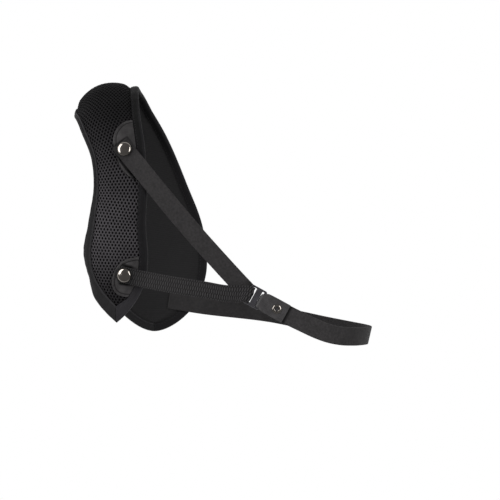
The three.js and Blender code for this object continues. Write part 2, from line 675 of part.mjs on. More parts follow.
// Ring: a bar at each end, a broad one between them and two rails, with rounded edges.
function roundedBox(shape, x0, y0, x1, y1, r) {
  shape.moveTo(x0 + r, y0);
  shape.lineTo(x1 - r, y0);
  shape.absarc(x1 - r, y0 + r, r, -Math.PI / 2, 0);
  shape.lineTo(x1, y1 - r);
  shape.absarc(x1 - r, y1 - r, r, 0, Math.PI / 2);
  shape.lineTo(x0 + r, y1);
  shape.absarc(x0 + r, y1 - r, r, Math.PI / 2, Math.PI);
  shape.lineTo(x0, y0 + r);
  shape.absarc(x0 + r, y0 + r, r, Math.PI, 1.5 * Math.PI);
  return shape;
}
const ringLow = RING_FIRST_BAR - RING_BAR / 2;
const ringHigh = RING_SECOND_BAR + RING_BAR / 2;
const ringHalf = RING_WIDTH / 2;
const ringShape = roundedBox(new THREE.Shape(), ringLow, -ringHalf, ringHigh, ringHalf, 2.2);
const ringSlots = [
  { from: RING_FIRST_BAR + RING_BAR / 2, to: RING_MIDDLE_FROM },
  { from: RING_MIDDLE_TO, to: RING_SECOND_BAR - RING_BAR / 2 },
];
ringSlots.forEach(({ from, to }) => {
  const slot = roundedBox(new THREE.Path(), from, RING_RAIL - ringHalf, to, ringHalf - RING_RAIL, RING_ROUND);
  ringShape.holes.push(slot);
});
const ringBlank = new THREE.ExtrudeGeometry(ringShape, {
  depth: RING_BAR - 2 * RING_ROUND,
  bevelEnabled: true,
  bevelThickness: RING_ROUND,
  bevelSize: RING_ROUND,
  bevelOffset: -RING_ROUND,
  bevelSegments: 1,
  curveSegments: 4,
});
ringBlank.translate(0, 0, RING_ROUND - RING_BAR / 2);
const ringFrame = new THREE.Matrix4().makeBasis(pull, bar, out).setPosition(RING_AT);
const ring = geometryOf(solidOf(ringBlank.applyMatrix4(ringFrame)));

// Tab: round the ring's second bar, then both layers close on the elastic.
const tabRadius = RING_BAR / 2 + STRAP_GAP + TAB_THICKNESS / 2;
const tabGrip = WEBBING_THICKNESS / 2 + GAP + TAB_THICKNESS / 2;
const tabEnd = RING_SECOND_BAR - tabRadius - TAB_THICKNESS / 2 + TAB_LENGTH;
const tabLeg = (side) => [
  { u: tabEnd, h: side * tabGrip, width: TAB_WIDTH },
  { u: (tabEnd + RING_SECOND_BAR) / 2, h: side * tabGrip, width: TAB_WIDTH },
  { u: RING_SECOND_BAR + 8.5, h: side * tabGrip, width: TAB_WIDTH - 0.2 },
  { u: RING_SECOND_BAR + 3, h: side * (tabRadius - 0.2), width: TAB_WIDTH - 1.2 },
];
const tabRows = [];
const tabRow = ({ u, h, width }, normal) => ({ point: inRing(u, h), normal, across: bar.clone().negate(), width });
tabLeg(1).forEach((r) => tabRows.push(tabRow(r, out.clone())));
for (let k = 0; k <= 8; k += 1) {
  const angle = ((90 + (180 * k) / 8) * Math.PI) / 180;
  const u = RING_SECOND_BAR + tabRadius * Math.cos(angle);
  const h = tabRadius * Math.sin(angle);
  const normal = pull.clone().multiplyScalar(Math.cos(angle)).addScaledVector(out, Math.sin(angle));
  tabRows.push(tabRow({ u, h, width: TAB_FOLD_WIDTH }, normal));
}
tabLeg(-1).reverse().forEach((r) => tabRows.push(tabRow(r, out.clone().negate())));
let tab = ribbon(tabRows, TAB_WIDTH, TAB_THICKNESS, 6).body;

// The torso's outline at a turn from the middle of the back, with its normal.
function torsoAt(turn) {
  const power = 2 / TORSO.squareness;
  const sine = Math.sin(turn * RAD);
  const cosine = Math.cos(turn * RAD);
  const depth = cosine > 0 ? TORSO.back : TORSO.front;
  const x = TORSO.halfWidth * Math.sign(sine) * Math.abs(sine) ** power;
  const y = -depth * Math.sign(cosine) * Math.abs(cosine) ** power;
  const steep = TORSO.squareness - 1;
  const normal = new THREE.Vector3(
    (Math.sign(x) * Math.abs(x) ** steep) / TORSO.halfWidth ** TORSO.squareness,
    (Math.sign(y) * Math.abs(y) ** steep) / depth ** TORSO.squareness,
    0,
  );
  normal.normalize();
  normal.z = -Math.tan(TORSO.taper * RAD) * Math.abs(normal.x);
  return { x: TORSO.x + x, y, normal: normal.normalize() };
}

// Elastic: held in the tab, round the right side, its front end under the edge of the chest panel.
const elasticRows = [
  { point: inRing(tabEnd - ELASTIC_IN_TAB, 0), normal: out },
  { point: inRing(tabEnd - ELASTIC_IN_TAB / 2, 0), normal: out },
  { point: inRing(tabEnd + 1, 0), normal: out },
];
ELASTIC_ROWS.forEach(({ turn, z }) => {
  const { x, y, normal } = torsoAt(turn);
  elasticRows.push({ point: new THREE.Vector3(x, y, z), normal });
});
const chestEdge = edgeAt(true, edgeDistance(true, ELASTIC_END.along)).here.y;
for (let k = 0; k <= 3; k += 1) {
  const inwards = (ELASTIC_END.reach * k) / 3;
  const along = ELASTIC_END.along - ELASTIC_END.rise * inwards;
  elasticRows.push(onPanelRow(along, chestEdge + ELASTIC_END.over - inwards, -ELASTIC_END.below));
}
function onPanelRow(along, across, raised) {
  const { point, normal } = onPanel(along, across, raised);
  return { point, normal };
}
let elastic = ribbon(elasticRows, ELASTIC_WIDTH, WEBBING_THICKNESS, 11).body;

// Eyelet through both layers of the tab and the elastic between them, open at the outer face and closed behind.
const eyeletAt = inRing(tabEnd - EYELET_FROM_TAB_END, 0);
const eyeletSeat = tabGrip + TAB_THICKNESS / 2 + GAP;
const eyeletBore = EYELET_BORE / 2;
const eyeletTube = eyeletBore + EYELET_WALL;
const eyeletRim = EYELET_DIAMETER / 2;
const eyelet = turned(
  [
    [0, -eyeletSeat - EYELET_LIP],
    [eyeletRim - 0.8, -eyeletSeat - EYELET_LIP],
    [eyeletRim, -eyeletSeat - EYELET_LIP * 0.4],
    [eyeletRim, -eyeletSeat],
    [eyeletTube, -eyeletSeat],
    [eyeletTube, eyeletSeat],
    [eyeletRim, eyeletSeat],
    [eyeletRim, eyeletSeat + EYELET_LIP * 0.4],
    [eyeletRim - 0.8, eyeletSeat + EYELET_LIP],
    [eyeletBore + 0.6, eyeletSeat + EYELET_LIP],
    [eyeletBore, eyeletSeat + EYELET_LIP * 0.6],
    [eyeletBore, EYELET_FLOOR],
    [0, EYELET_FLOOR],
  ],
  eyeletAt,
  out,
  20,
);
tab = bored(tab, eyeletAt, out, eyeletTube + GAP, 6);
elastic = bored(elastic, eyeletAt, out, eyeletTube + GAP, 2);

// Surfaces.
const meshCloth = { color: 0x333135, roughness: 0.95 };
const tapeCloth = { color: 0x2b292d, roughness: 0.85 };
const vinyl = { color: 0x3c3a3c, roughness: 0.55 };
const webbing = { color: 0x302e31, roughness: 0.9 };
const nickel = { color: 0xc8c6c2, roughness: 0.18, metalness: 1 };
const blackPlastic = { color: 0x141316, roughness: 0.25 };

const guard = new THREE.Group();
guard.name = "chest_guard";
function place(name, geometry, surface) {
  geometry.computeVertexNormals();
  const mesh = new THREE.Mesh(geometry, new THREE.MeshStandardMaterial(surface));
  mesh.name = name;
  guard.add(mesh);
}
place("mesh_panel", panel, meshCloth);
place("neck_side_binding", neckTape, tapeCloth);
place("arm_side_binding", armTape, tapeCloth);
place("upper_patch", upperPatch, vinyl);
place("lower_patch", lowerPatch, vinyl);
place("upper_snap", upperSnap, nickel);
place("lower_snap", lowerSnap, nickel);
place("upper_strap", upperStrap, webbing);
place("lower_strap", lowerStrap, webbing);
place("strap_ring", ring, blackPlastic);
place("ring_tab", tab, vinyl);
place("tab_eyelet", eyelet, nickel);
place("elastic_strap", elastic, webbing);

export default guard;
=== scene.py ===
"""Chest guard for the left shoulder: its looks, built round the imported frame.

Tables are in millimetres, in the frame of the part:
+Z is up, the chest half lies to +Y, the origin is the shoulder seat.
"""
import math
from functools import partial

import bmesh
import bpy
import numpy as np
from bpy.props import FloatProperty, FloatVectorProperty, PointerProperty
from mathutils import Matrix, Vector


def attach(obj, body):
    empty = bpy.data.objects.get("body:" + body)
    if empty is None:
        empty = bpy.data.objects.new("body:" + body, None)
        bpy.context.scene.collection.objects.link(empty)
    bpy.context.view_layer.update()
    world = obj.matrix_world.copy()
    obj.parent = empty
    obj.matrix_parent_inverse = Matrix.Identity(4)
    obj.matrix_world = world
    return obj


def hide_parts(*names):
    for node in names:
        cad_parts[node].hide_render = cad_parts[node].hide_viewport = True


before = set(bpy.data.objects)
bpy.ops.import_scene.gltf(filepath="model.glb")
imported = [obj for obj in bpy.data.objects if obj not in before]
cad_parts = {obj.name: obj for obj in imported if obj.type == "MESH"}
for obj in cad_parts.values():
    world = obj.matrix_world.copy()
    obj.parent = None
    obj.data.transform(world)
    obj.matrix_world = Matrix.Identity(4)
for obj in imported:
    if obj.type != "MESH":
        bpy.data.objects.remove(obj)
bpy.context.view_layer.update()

bl_info = {
    "name": "Chest guard",
    "version": (1, 0, 0),
    "blender": (4, 5, 0),
    "location": "3D View > Sidebar > Chest guard",
    "description": "Makes a padded mesh chest guard with its tapes, straps, ring and caps",
    "category": "Object",
}

MM = 0.001
# Between neighbours, where nothing else is given.
GAP = 0.3

# Panel: a row for each section from the tip on the back, over the shoulder, to the chest.
# x, y, z give the crown line; roll, yaw and sag turn and arch the section; arm and neck are its widths;
# tape is the width of the arm side tape; curl turns that tape inwards and lift turns the neck side tape up.
PANEL_COLUMNS = ("x", "y", "z", "roll", "yaw", "sag", "arm", "neck", "tape", "curl", "lift")
PANEL_ROWS = {
    "tip": (11, -71, -242.3, 0, 19, 2.5, 0, 0, 15, 0, 0),
    "point": (11, -73, -235, 0, 19, 2.6, 9.6, 8, 15, 2, 0),
    "low": (11, -77, -217, 0, 18, 3, 27.6, 22.4, 15, 12, 0),
    "snap": (11, -81, -195, 0, 17, 3.4, 36.8, 32.4, 12, 44, 0),
    "flare": (11, -83, -173, 0, 16, 3.8, 42, 34.5, 13, 32, 0),
    "ribs": (12, -86, -140, 0, 14, 4, 34.1, 31.4, 9, 18, 0),
    "waist": (15, -87, -100, 0, 12, 4, 29.6, 29.4, 6, 6, 0),
    "blade": (11.5, -83, -60, 5, 10, 6, 29.6, 30.4, 6, 0, 4),
    "bend": (1.5, -66, -22, 9, 6, 11, 35.2, 34, 6, 0, 16),
    "rear": (-2, -38, 6, 9, 3, 17, 48.5, 34.2, 6, 0, 36),
    "top": (-4, -4, 17, 8, 0, 20, 50, 35, 6, 0, 43),
    "fore": (-3, 30, 10, 9, -5, 16, 46, 36, 6, 0, 34),
    "collar": (5, 58, -15, 8, -10, 9, 41, 38, 7, 0, 12),
    "chest_top": (16, 76, -50, 4, -14, 6, 39, 45, 8, 0, 0),
    "chest_mid": (27, 89, -98, 0, -16, 4.5, 49, 54, 8, 0, 0),
    "chest_full": (35, 97, -150, 0, -16, 4, 64, 65, 9, 0, 0),
    "chest_low": (39, 98, -200, 0, -16, 4, 59, 63, 9, 0, 0),
    "chest_round": (41, 95, -238, 0, -16, 4, 38, 42, 9, 0, 0),
    "chest_end": (42, 92, -259, 0, -16, 4, 0, 0, 9, 0, 0),
}
# The sag is the drop this far from the crown line. Tapes turn over FOLD_ROUND,
# on the arm side no nearer to the crown line than FOLD_NEAREST.
SAG_AT, FOLD_ROUND, FOLD_NEAREST, SECTION_STEPS = 35.0, 6.0, -4.0, 16
# Thickness under the tapes and in the middle, and the way over which it swells.
PANEL_EDGE, PANEL_FULL, PANEL_SWELL = 3.0, 6.4, 10.0
PADDING_COLUMNS = 38
# Soft unevenness of the padding: its height, and the lengths over which it waves.
UNEVEN, UNEVEN_ALONG, UNEVEN_ACROSS, UNEVEN_SLOW, UNEVEN_DRIFT = 0.22, 7.9, 9.3, 31.0, 11.0
TAPE_WALL, TAPE_GAP, NECK_TAPE = 1.0, 0.5, 9.0
# Over this run from the tip the inner lines of both tapes go straight from one corner on the crown line.
TIP_CORNER, TIP_RUN = 18.5, 30.0
# A shallow dent of the outer face, behind the top of the shoulder.
DENT_ALONG, DENT_DEPTH, DENT_REACH = 259, 1.4, 12
STATION_STEP, TIP_STATION_STEP, LAST_STATION_GAP = 3.0, 1.5, 2

# The way of a line at a point is measured this far to both sides of it.
CROWN_PROBE, EDGE_PROBE, STRAP_PROBE = 0.5, 0.4, 0.2
HALVINGS = 40

# Net: its flat pattern lies this far from zero across (metres); the parts run between these places along it.
NET_MIDDLE = 0.07
NET_PARTS = {"net_back": (12, 316), "net_chest": (316, 640)}
NET_COLUMNS, NET_TUCK, NET_SPARE, NET_NARROWEST = 38, 2.6, 12, 3
GROUND_COLUMNS = 45
# Yarn of a cell: share of the way from the rim to the hole, and height; the foot goes down into the filling.
YARN_ROWS = ((0.0, 0.12), (0.5, 0.04), (0.94, -0.3))
YARN_FOOT, YARN_FOOT_DEPTH = 1.04, 0.35
# Rise and fall of the yarn's middle round half a cell.
YARN_CREST = (0.0, 0.14, 0.0, 0.02, 0.0, -0.14)

# Tape section: share of the width from the edge, distance in from there, height; both faces follow from it.
TAPE_INNER = PANEL_EDGE / 2 + TAPE_GAP
TAPE_OUTER = TAPE_INNER + TAPE_WALL
TAPE_LIP = (
    (1.0, 0.0, TAPE_INNER + 0.1),
    (1.0, -0.1, TAPE_INNER + 0.62),
    (1.0, -0.5, TAPE_OUTER - 0.12),
    (1.0, -1.1, TAPE_OUTER - 0.06),
    (1.0, -1.6, TAPE_OUTER - 0.34),
    (1.0, -2.1, TAPE_OUTER - 0.02),
    (0.66, 0.0, TAPE_OUTER + 0.12),
    (0.4, 0.0, TAPE_OUTER + 0.14),
    (0.0, 2.2, TAPE_OUTER + 0.02),
    (0.0, 1.2, TAPE_OUTER - 0.3),
    (0.0, 0.5, TAPE_OUTER - 0.85),
    (0.0, 0.12, TAPE_OUTER - 1.6),
    (0.0, 0.0, 0.0),
)
TAPE_PUCKER, TAPE_PUCKER_PITCH, TAPE_PUCKER_DRIFT = 0.05, 1.9, 13.0
# Metres round the tape's section from its hem to its fold.
TAPE_FOLD_AT = 0.01346
# Painted light and shade on the tapes: below 1 is darker than the cloth, above 1 lighter.
# tip and rest paint light and shade by the distance from the tip, fold is a painted highlight beside the
# fold, hem lightens the line along the hem and shoulder is painted shade over the shoulder.
TAPE_PAINTED_LIGHT = {
    "neck": {"tip": 1.7, "rest": 0.5, "fold": 1.8, "hem": 1.2, "shoulder": 0.3},
    "arm": {"tip": 0.75, "rest": 0.62, "fold": 1.1, "hem": 2.0, "shoulder": 1.0},
}

# Patches: from and to are distances up the crown line, bulge is the depth of the D,
# and fullest is the share of its height at which it is deepest.
PATCHES = {
    "upper_patch": {"from": 153, "to": 214, "bulge": 22.8, "fullest": 0.66},
    "lower_patch": {"from": 29.5, "to": 72, "bulge": 26, "fullest": 0.5},
}
PATCH_END = 0.12
PATCH_GAP = 0.45
PATCH_WALL = 1.2
PATCH_ROWS, PATCH_COLUMNS, PATCH_EDGE_POINTS = 150, 64, 61
TURNED_RISE, TURNED_STEP = 0.28, 0.5
GROOVE_DEPTH, GROOVE_FROM_BORDER, GROOVE_REACH = 0.3, 0.35, 0.4
PATCH_ROUND, PATCH_ROUND_DROP = 0.7, 0.55
# Where the shade of a strap starts on its patch, from the strap's end, and how far it runs.
STRAP_SHADE_FROM = {"upper_patch": 0.0, "lower_patch": 6.0}
STRAP_SHADE_RUN, STRAP_SHADE_POINTS = 40.0, 16

# Caps: up the crown line from the tip, and across to the neck side.
SNAPS = {"upper_snap": (182.8, 9.4), "lower_snap": (52.8, 11.0)}
CAP_RADIUS, CAP_HEIGHT, CAP_RIM, CAP_RIM_IN = 7.6, 3.4, 0.8, 0.06
CAP_SEGMENTS, DOME_STEPS = 64, 28
POST_RADIUS, FOOT_RADIUS, FOOT_HEIGHT, FOOT_GAP = 2.0, 5.5, 1.2, 0.6

# Webbing: the ways of the straps from the panel's edge to the ring (x, y, z).
WEBBING = 1.6
STRAP_GAP = 0.5
STRAP_WAVES, STRAP_FEWEST_STEPS = (9.1, 4.3), 8
UPPER_STRAP_WIDTH, UPPER_STRAP_TAIL = 20.0, 8.8
UPPER_STRAP_ROWS = {
    "edge": (44.5, -96.4, -87.8),
    "blade": (67.6, -101.6, -115.9),
    "middle": (92.6, -104.2, -145.3),
    "low": (118.9, -104.6, -174.8),
    "crossing": (138.7, -104.2, -196.4),
    "end": (148.1, -104.1, -206.4),
}
# The upper corner of its end goes on and in behind the ring, over this run.
UPPER_CORNER_RUN, UPPER_CORNER_ON, UPPER_CORNER_IN = 6, 2.6, 2.9
LOWER_STRAP_WIDTH, LOWER_STRAP_TAIL, LOWER_TAIL_WIDTH = 17.6, 9.2, 9.0
LOWER_STRAP_RETURN, LOWER_LOOP_WIDTH = 27.0, 17.0
LOWER_STRAP_ROWS = {
    "edge": (44.5, -95, -196.6),
    "left": (77.8, -102.6, -202.5),
    "middle": (106.6, -106, -206.8),
    "right": (131, -107, -210.6),
}
# Where its two layers meet, from the ring's bar, and the share of their turn there from bar to strap.
LOWER_MEET_AT, LOWER_MEET_TURN = 9, 0.4
LOOP_STEPS = 8
# Lanes of ribs, their share round the bar, and how far inside the loop that starts.
RIB_LANES, RIB_ROUND_BAR, RIB_BAR_IN = 3, 0.3, 1
# Ribs and the lanes between them: a small power gives a broad top, level is the height that stays in place.
RIB_POWER, LANE_POWER, LANE_DEPTH, RIB_LEVEL = 0.9, 0.3, 0.4, 0.8
# The lower strap's loop stands off the bar, less at its upper and its lower end.
SLACK, SLACK_LESS_ABOVE, SLACK_LESS_BELOW = 1.25, 1.1, 0.3
# Before the loop its lower edge spreads: how far, and how far into the loop that goes on;
# it starts this far before the loop and grows over this run.
SPREADS, SPREAD_EASE, SPREAD_START, SPREAD_GROWS = ((0.8, 2.5), (0.9, 8)), 3, 18, 12
# Straps are turned by this angle (degrees) at this distance from the middle of the elastic's oval.
BACK_TURN, BACK_TURN_AT = 14.0, 105.0
# Upper and lower part of a strap: where it starts, as a share of the half width, and its run.
UPPER_PART, LOWER_PART = (0.2, 0.6), (0.5, 0.5)

# Ring: its place, and how the pull falls to the right (degrees); its bars are placed along the pull.
RING_AT = np.array((155.0, -104.0, -212.4))
RING_FALL = 28.8
RING_WIDTH, RING_BAR, RING_RAIL, RING_ROUND = 21.6, 3.0, 2.0, 0.7
RING_FIRST, RING_SECOND = -3.6, 12.0
RING_CORNER, RING_CORNER_STEPS, RING_BEVEL_STEPS = 2.2, 6, 3
RING_MIDDLE = (1.7, 8.3)

TAB_WIDTH, TAB_FOLD_WIDTH, TAB_LENGTH, TAB_WALL = 20.6, 17.0, 32.4, 1.2
# Relief of the tab: height, distance from the fold or the edge, and reach.
TAB_RIDGE, TAB_CREASE, TAB_PRESSED = (0.16, 3.6, 1.4), (-0.3, 6.6, 0.55), (-0.14, 1.7, 0.4)
TAB_CREASE_SLANT, TAB_PRESSED_RUN = 1.2, 6
# The fold stands this far off its bar and fills its slot, but its upper corner goes down the bar;
# both reach a little beyond the fold.
TAB_OFF_BAR, TAB_CORNER_DOWN, TAB_BEYOND_FOLD, TAB_CORNER = 0.47, 2.2, 2, (0.35, 0.65)
EYELET_RADIUS, EYELET_BORE, EYELET_TUBE, EYELET_LIP = 4.8, 2.2, 2.9, 1.1
EYELET_CREST, EYELET_FLOOR, EYELET_FROM_END = 2.7, 0.2, 11.0
EYELET_SEGMENTS, EYELET_STEPS, EYELET_LIP_START = 48, 10, 0.15

# Elastic: it follows an oval. Its rows give a turn, which is 0 behind, 90 at the right side and 180 in front,
# and the height there.
ELASTIC_WIDTH, ELASTIC_IN_TAB = 20.0, 25.0
OVAL_X, OVAL_HALF, OVAL_BACK, OVAL_FRONT, OVAL_SQUARE, OVAL_TAPER = 150, 135.2, 106, 100, 2.4, 13
ELASTIC_ROWS = (
    (22.4, -242), (29, -248.4), (36, -253.3), (44.5, -256.4), (55, -257.7), (70, -258.2),
    (90, -258.6), (108, -258), (126, -255.6), (142, -251.6), (156, -246.2), (168, -240.6),
)
# Its end on the inner face of the chest half: place along the crown line, start over the edge,
# reach inwards, rise on that way and depth below the middle surface.
ELASTIC_END = {"along": 602, "over": 6, "reach": 36, "rise": 0.2, "below": 4.4, "steps": 3}

# Seams: how far in from the tape's inner line, and how deep the thread sinks into the tape.
STITCH_IN, STITCH_SINK = 1.6, 0.2
STITCH_SEGMENTS, STITCH_RINGS = 6, 4
# Stations of a tape at the tip, and points at both ends of a patch's edge, that have no seam.
TAPE_UNSEWN, PATCH_UNSEWN, NARROWEST_TAPE = 4, 6, 3
# Seam of a patch: share of the turned edge, rise over the wall, and a step from the edge's middle inwards.
PATCH_SEAM_SHARE, PATCH_SEAM_RISE, PATCH_INSIDE = 0.6, 0.3, 6

# Points closer than these are joined, and faces thinner than NO_AREA are dropped (metres).
FINE_MERGE, PANEL_MERGE, TURNED_MERGE, NO_AREA = 1e-6, 1e-5, 2e-5, 1e-7

# Softboxes, in metres: the stage value that holds the power, then width, height and place.
SOFTBOXES = {
    "left softbox": ("key", 1.25, 2.6, (-1.77, -1.2, 0.85)),
    "right softbox": ("fill", 0.8, 1.8, (1.6, -1.65, 0.5)),
}
# Where they aim (metres); the camera's sensor (millimetres) and range (metres).
GUARD_MIDDLE = Vector((0.1, 0.0, -0.13))
SENSOR, NEAREST, FARTHEST = 36, 0.05, 60
# Floor: half its side, its points each way and its grey; it fades out between these distances (metres).
FLOOR_HALF, FLOOR_POINTS, FLOOR_GREY = 15000, 7, 0.86
FLOOR_FULL, FLOOR_GONE = 2.0, 6.0


# Curves and surfaces


def smooth(knots, rows):
    """A smooth curve through a table: cubic pieces with slopes taken from the neighbouring rows."""
    knots, rows = np.asarray(knots, float), np.asarray(rows, float)
    table = rows.reshape(len(knots), -1)
    span = np.diff(knots)
    rise = np.diff(table, axis=0) / span[:, None]
    slope = np.concatenate([rise[:1], rise])
    before, after = span[:-1, None], span[1:, None]
    slope[1:-1] = (rise[:-1] * after + rise[1:] * before) / (before + after)

    def at(t):
        t = np.asarray(t, float)
        i = np.clip(np.searchsorted(knots, t) - 1, 0, len(span) - 1)
        f = ((t - knots[i]) / span[i])[..., None]
        g, wide = 1 - f, span[i][..., None]
        start = table[i] * (1 + 2 * f) + slope[i] * wide * f
        end = table[i + 1] * (1 + 2 * g) - slope[i + 1] * wide * g
        found = start * g * g + end * f * f
        return found[..., 0] if rows.ndim == 1 else found

    return at


def running(points):
    """Distances along a row of points, from the first one."""
    return np.concatenate([[0], np.cumsum(np.linalg.norm(np.diff(points, axis=0), axis=1))])


def unit(v):
    return v / np.linalg.norm(v, axis=-1, keepdims=True)


def ease(f):
    t = np.clip(f, 0, 1)
    return t * t * (3 - 2 * t)


def bump_at(x, height, centre, reach):
    """A soft bell."""
    return height * np.exp(-(((x - centre) / reach) ** 2))


def part_of(share, start, run):
    """A part of a strap beside its edge: 0 up to its start, 1 after its run."""
    return ease((share - start) / run)


def crest_between(t, first, last):
    """A soft crest of height 1 between two distances."""
    return np.sin(np.pi * np.clip((t - first) / (last - first), 0, 1)) ** 2


PANEL_TABLE = np.array(list(PANEL_ROWS.values()), float)
CROWN = running(PANEL_TABLE[:, :3])
CROWN_LENGTH = CROWN[-1]
crown = smooth(CROWN, PANEL_TABLE[:, :3])
panel = {name: smooth(CROWN, PANEL_TABLE[:, i]) for i, name in enumerate(PANEL_COLUMNS)}


def on_panel(along, across, raised=0.0):
    """Points and normals of the panel.

    along runs up the crown line, across goes to the neck side, raised is measured off the middle surface.
    """
    along, across, raised = np.broadcast_arrays(*(np.asarray(v, float) for v in (along, across, raised)))
    shape = along.shape
    along, across, raised = along.ravel(), across.ravel(), raised.ravel()
    tangent = unit(crown(along + CROWN_PROBE) - crown(along - CROWN_PROBE))
    roll, yaw = np.radians(panel["roll"](along)), np.radians(panel["yaw"](along))
    level = np.cos(roll)
    side = np.stack([level * np.cos(yaw), -level * np.sin(yaw), np.sin(roll)], 1)
    out = unit(np.cross(side, tangent))
    side = unit(np.cross(tangent, out))
    sag = panel["sag"](along)
    bend = (2 * sag / (SAG_AT**2 + sag**2))[:, None]
    curl, lift = np.radians(panel["curl"](along))[:, None], np.radians(panel["lift"](along))[:, None]
    fold = np.minimum(FOLD_NEAREST, panel["tape"](along) - panel["arm"](along))[:, None]
    rising = (panel["neck"](along) - NECK_TAPE - FOLD_ROUND / 2)[:, None]

    def lean(w):
        return bend * w - curl * ease((fold - w) / FOLD_ROUND) - lift * ease((w - rising) / FOLD_ROUND)

    angle = lean(across[:, None] * (np.arange(SECTION_STEPS) + 0.5) / SECTION_STEPS)
    reach = (np.cos(angle).mean(1) * across)[:, None]
    drop = (np.sin(angle).mean(1) * across)[:, None]
    turn = lean(across[:, None])
    normal = out * np.cos(turn) + side * np.sin(turn)
    point = crown(along) + side * reach - out * drop + normal * raised[:, None]
    return point.reshape(*shape, 3), normal.reshape(*shape, 3)


# The outline in the flat: up the neck side, round the chest, down the arm side.
NECK_ROWS = np.stack([CROWN, PANEL_TABLE[:, PANEL_COLUMNS.index("neck")]], 1)
ARM_ROWS = np.stack([CROWN, -PANEL_TABLE[:, PANEL_COLUMNS.index("arm")]], 1)
OUTLINE_ROWS = np.concatenate([NECK_ROWS, ARM_ROWS[-2::-1]])
OUTLINE_KNOTS = running(OUTLINE_ROWS)
OUTLINE_LENGTH, CHEST_END_AT = OUTLINE_KNOTS[-1], OUTLINE_KNOTS[len(NECK_ROWS) - 1]
outline = smooth(OUTLINE_KNOTS, OUTLINE_ROWS)


def edge_at(on_neck, from_tip):
    """The point of an edge at a distance from the tip, and the way inwards from it, in the flat."""
    t = np.asarray(from_tip, float) if on_neck else OUTLINE_LENGTH - np.asarray(from_tip, float)
    after, before = np.minimum(OUTLINE_LENGTH, t + EDGE_PROBE), np.maximum(0, t - EDGE_PROBE)
    way = unit(outline(after) - outline(before))
    return outline(t), np.stack([way[..., 1], -way[..., 0]], -1)


def edge_distance(on_neck, along):
    """Distance from the tip at which an edge has come a given way along the crown line."""
    along = np.asarray(along, float)
    low = np.zeros(along.shape)
    high = np.full(along.shape, CHEST_END_AT if on_neck else OUTLINE_LENGTH - CHEST_END_AT)
    for _ in range(HALVINGS):
        middle = (low + high) / 2
        short = edge_at(on_neck, middle)[0][..., 0] < along
        low, high = np.where(short, middle, low), np.where(short, high, middle)
    return (low + high) / 2


def tape_at(on_neck, from_tip):
    """The edge and the tape's inner line at stations, in the flat."""

    def inner(t):
        here, inward = edge_at(on_neck, t)
        width = np.full(here.shape[:-1], NECK_TAPE) if on_neck else panel["tape"](here[..., 0])
        return here + inward * width[..., None]

    from_tip = np.asarray(from_tip, float)
    f = np.clip(from_tip / TIP_RUN, 0, 1)[..., None]
    blended = np.array((TIP_CORNER, 0.0)) * (1 - f) + inner(np.array(TIP_RUN)) * f
    line = np.where(from_tip[..., None] < TIP_RUN, blended, inner(from_tip))
    return edge_at(on_neck, from_tip)[0], line


def panel_stations():
    """Stations up the neck edge, each with its partner on the arm edge the same way along the crown line."""
    near_tip = np.arange(0, TIP_RUN, TIP_STATION_STEP)
    walked = np.concatenate([near_tip, np.arange(TIP_RUN, CHEST_END_AT - LAST_STATION_GAP, STATION_STEP)])
    neck_outer, neck_line = tape_at(True, walked)
    arm_here = edge_distance(False, neck_outer[:, 0])
    arm_here[0] = 0
    arm_outer, arm_line = tape_at(False, arm_here)
    end, line = (CROWN_LENGTH, 0.0), (CROWN_LENGTH - NECK_TAPE, 0.0)
    return {
        "neck": (np.vstack([neck_outer, end]), np.vstack([neck_line, line])),
        "arm": (np.vstack([arm_outer, end]), np.vstack([arm_line, line])),
    }


STATIONS = panel_stations()


def line_across(side, along):
    """Where a tape's inner line lies across the panel."""
    line = STATIONS[side][1]
    return np.interp(along, np.maximum.accumulate(line[:, 0]), line[:, 1])


def panel_half(along, from_tape, on_outer):
    """Half the panel's thickness: thin under the tapes, full in the middle, dented on the outer face."""
    full = ease(from_tape / PANEL_SWELL)
    dented = bump_at(along, DENT_DEPTH, DENT_ALONG, DENT_REACH) * full
    return (PANEL_EDGE + (PANEL_FULL - PANEL_EDGE) * full) / 2 - (dented if on_outer else 0)


def panel_outer(along, across):
    """Height of the outer face over the middle surface."""
    from_tape = np.minimum(line_across("neck", along) - across, across - line_across("arm", along))
    return panel_half(along, np.maximum(0, from_tape), True)


def nearer(flat, *lines):
    """Distance of each row of points from the nearer of its partners on two lines, in the flat."""
    return np.minimum(*(np.linalg.norm(flat - line[:, None], axis=2) for line in lines))


def undulation(along, across, from_tape):
    """Soft unevenness of the sewn padding, none beside the tapes."""
    waves = np.sin(along / UNEVEN_ALONG + 0.6 * np.sin(across / UNEVEN_DRIFT))
    waves = waves * np.cos(across / UNEVEN_ACROSS + along / UNEVEN_SLOW)
    return UNEVEN * waves * ease(from_tape / PANEL_SWELL)


# The ring's own frame: pull runs to the right and down, bar lies along the bars, out faces backwards.
FALL = math.radians(RING_FALL)
PULL = np.array((math.cos(FALL), 0, -math.sin(FALL)))
BAR = np.array((math.sin(FALL), 0, math.cos(FALL)))
OUT = np.array((0.0, -1.0, 0.0))
TAB_RADIUS = RING_BAR / 2 + STRAP_GAP + TAB_WALL / 2
TAB_GRIP = WEBBING / 2 + GAP + TAB_WALL / 2
TAB_END = RING_SECOND - TAB_RADIUS - TAB_WALL / 2 + TAB_LENGTH


def in_ring(u, h):
    """A point in the ring's frame: along the pull and outwards."""
    return RING_AT + PULL * u + OUT * h


FIRST_BAR = in_ring(RING_FIRST, 0)


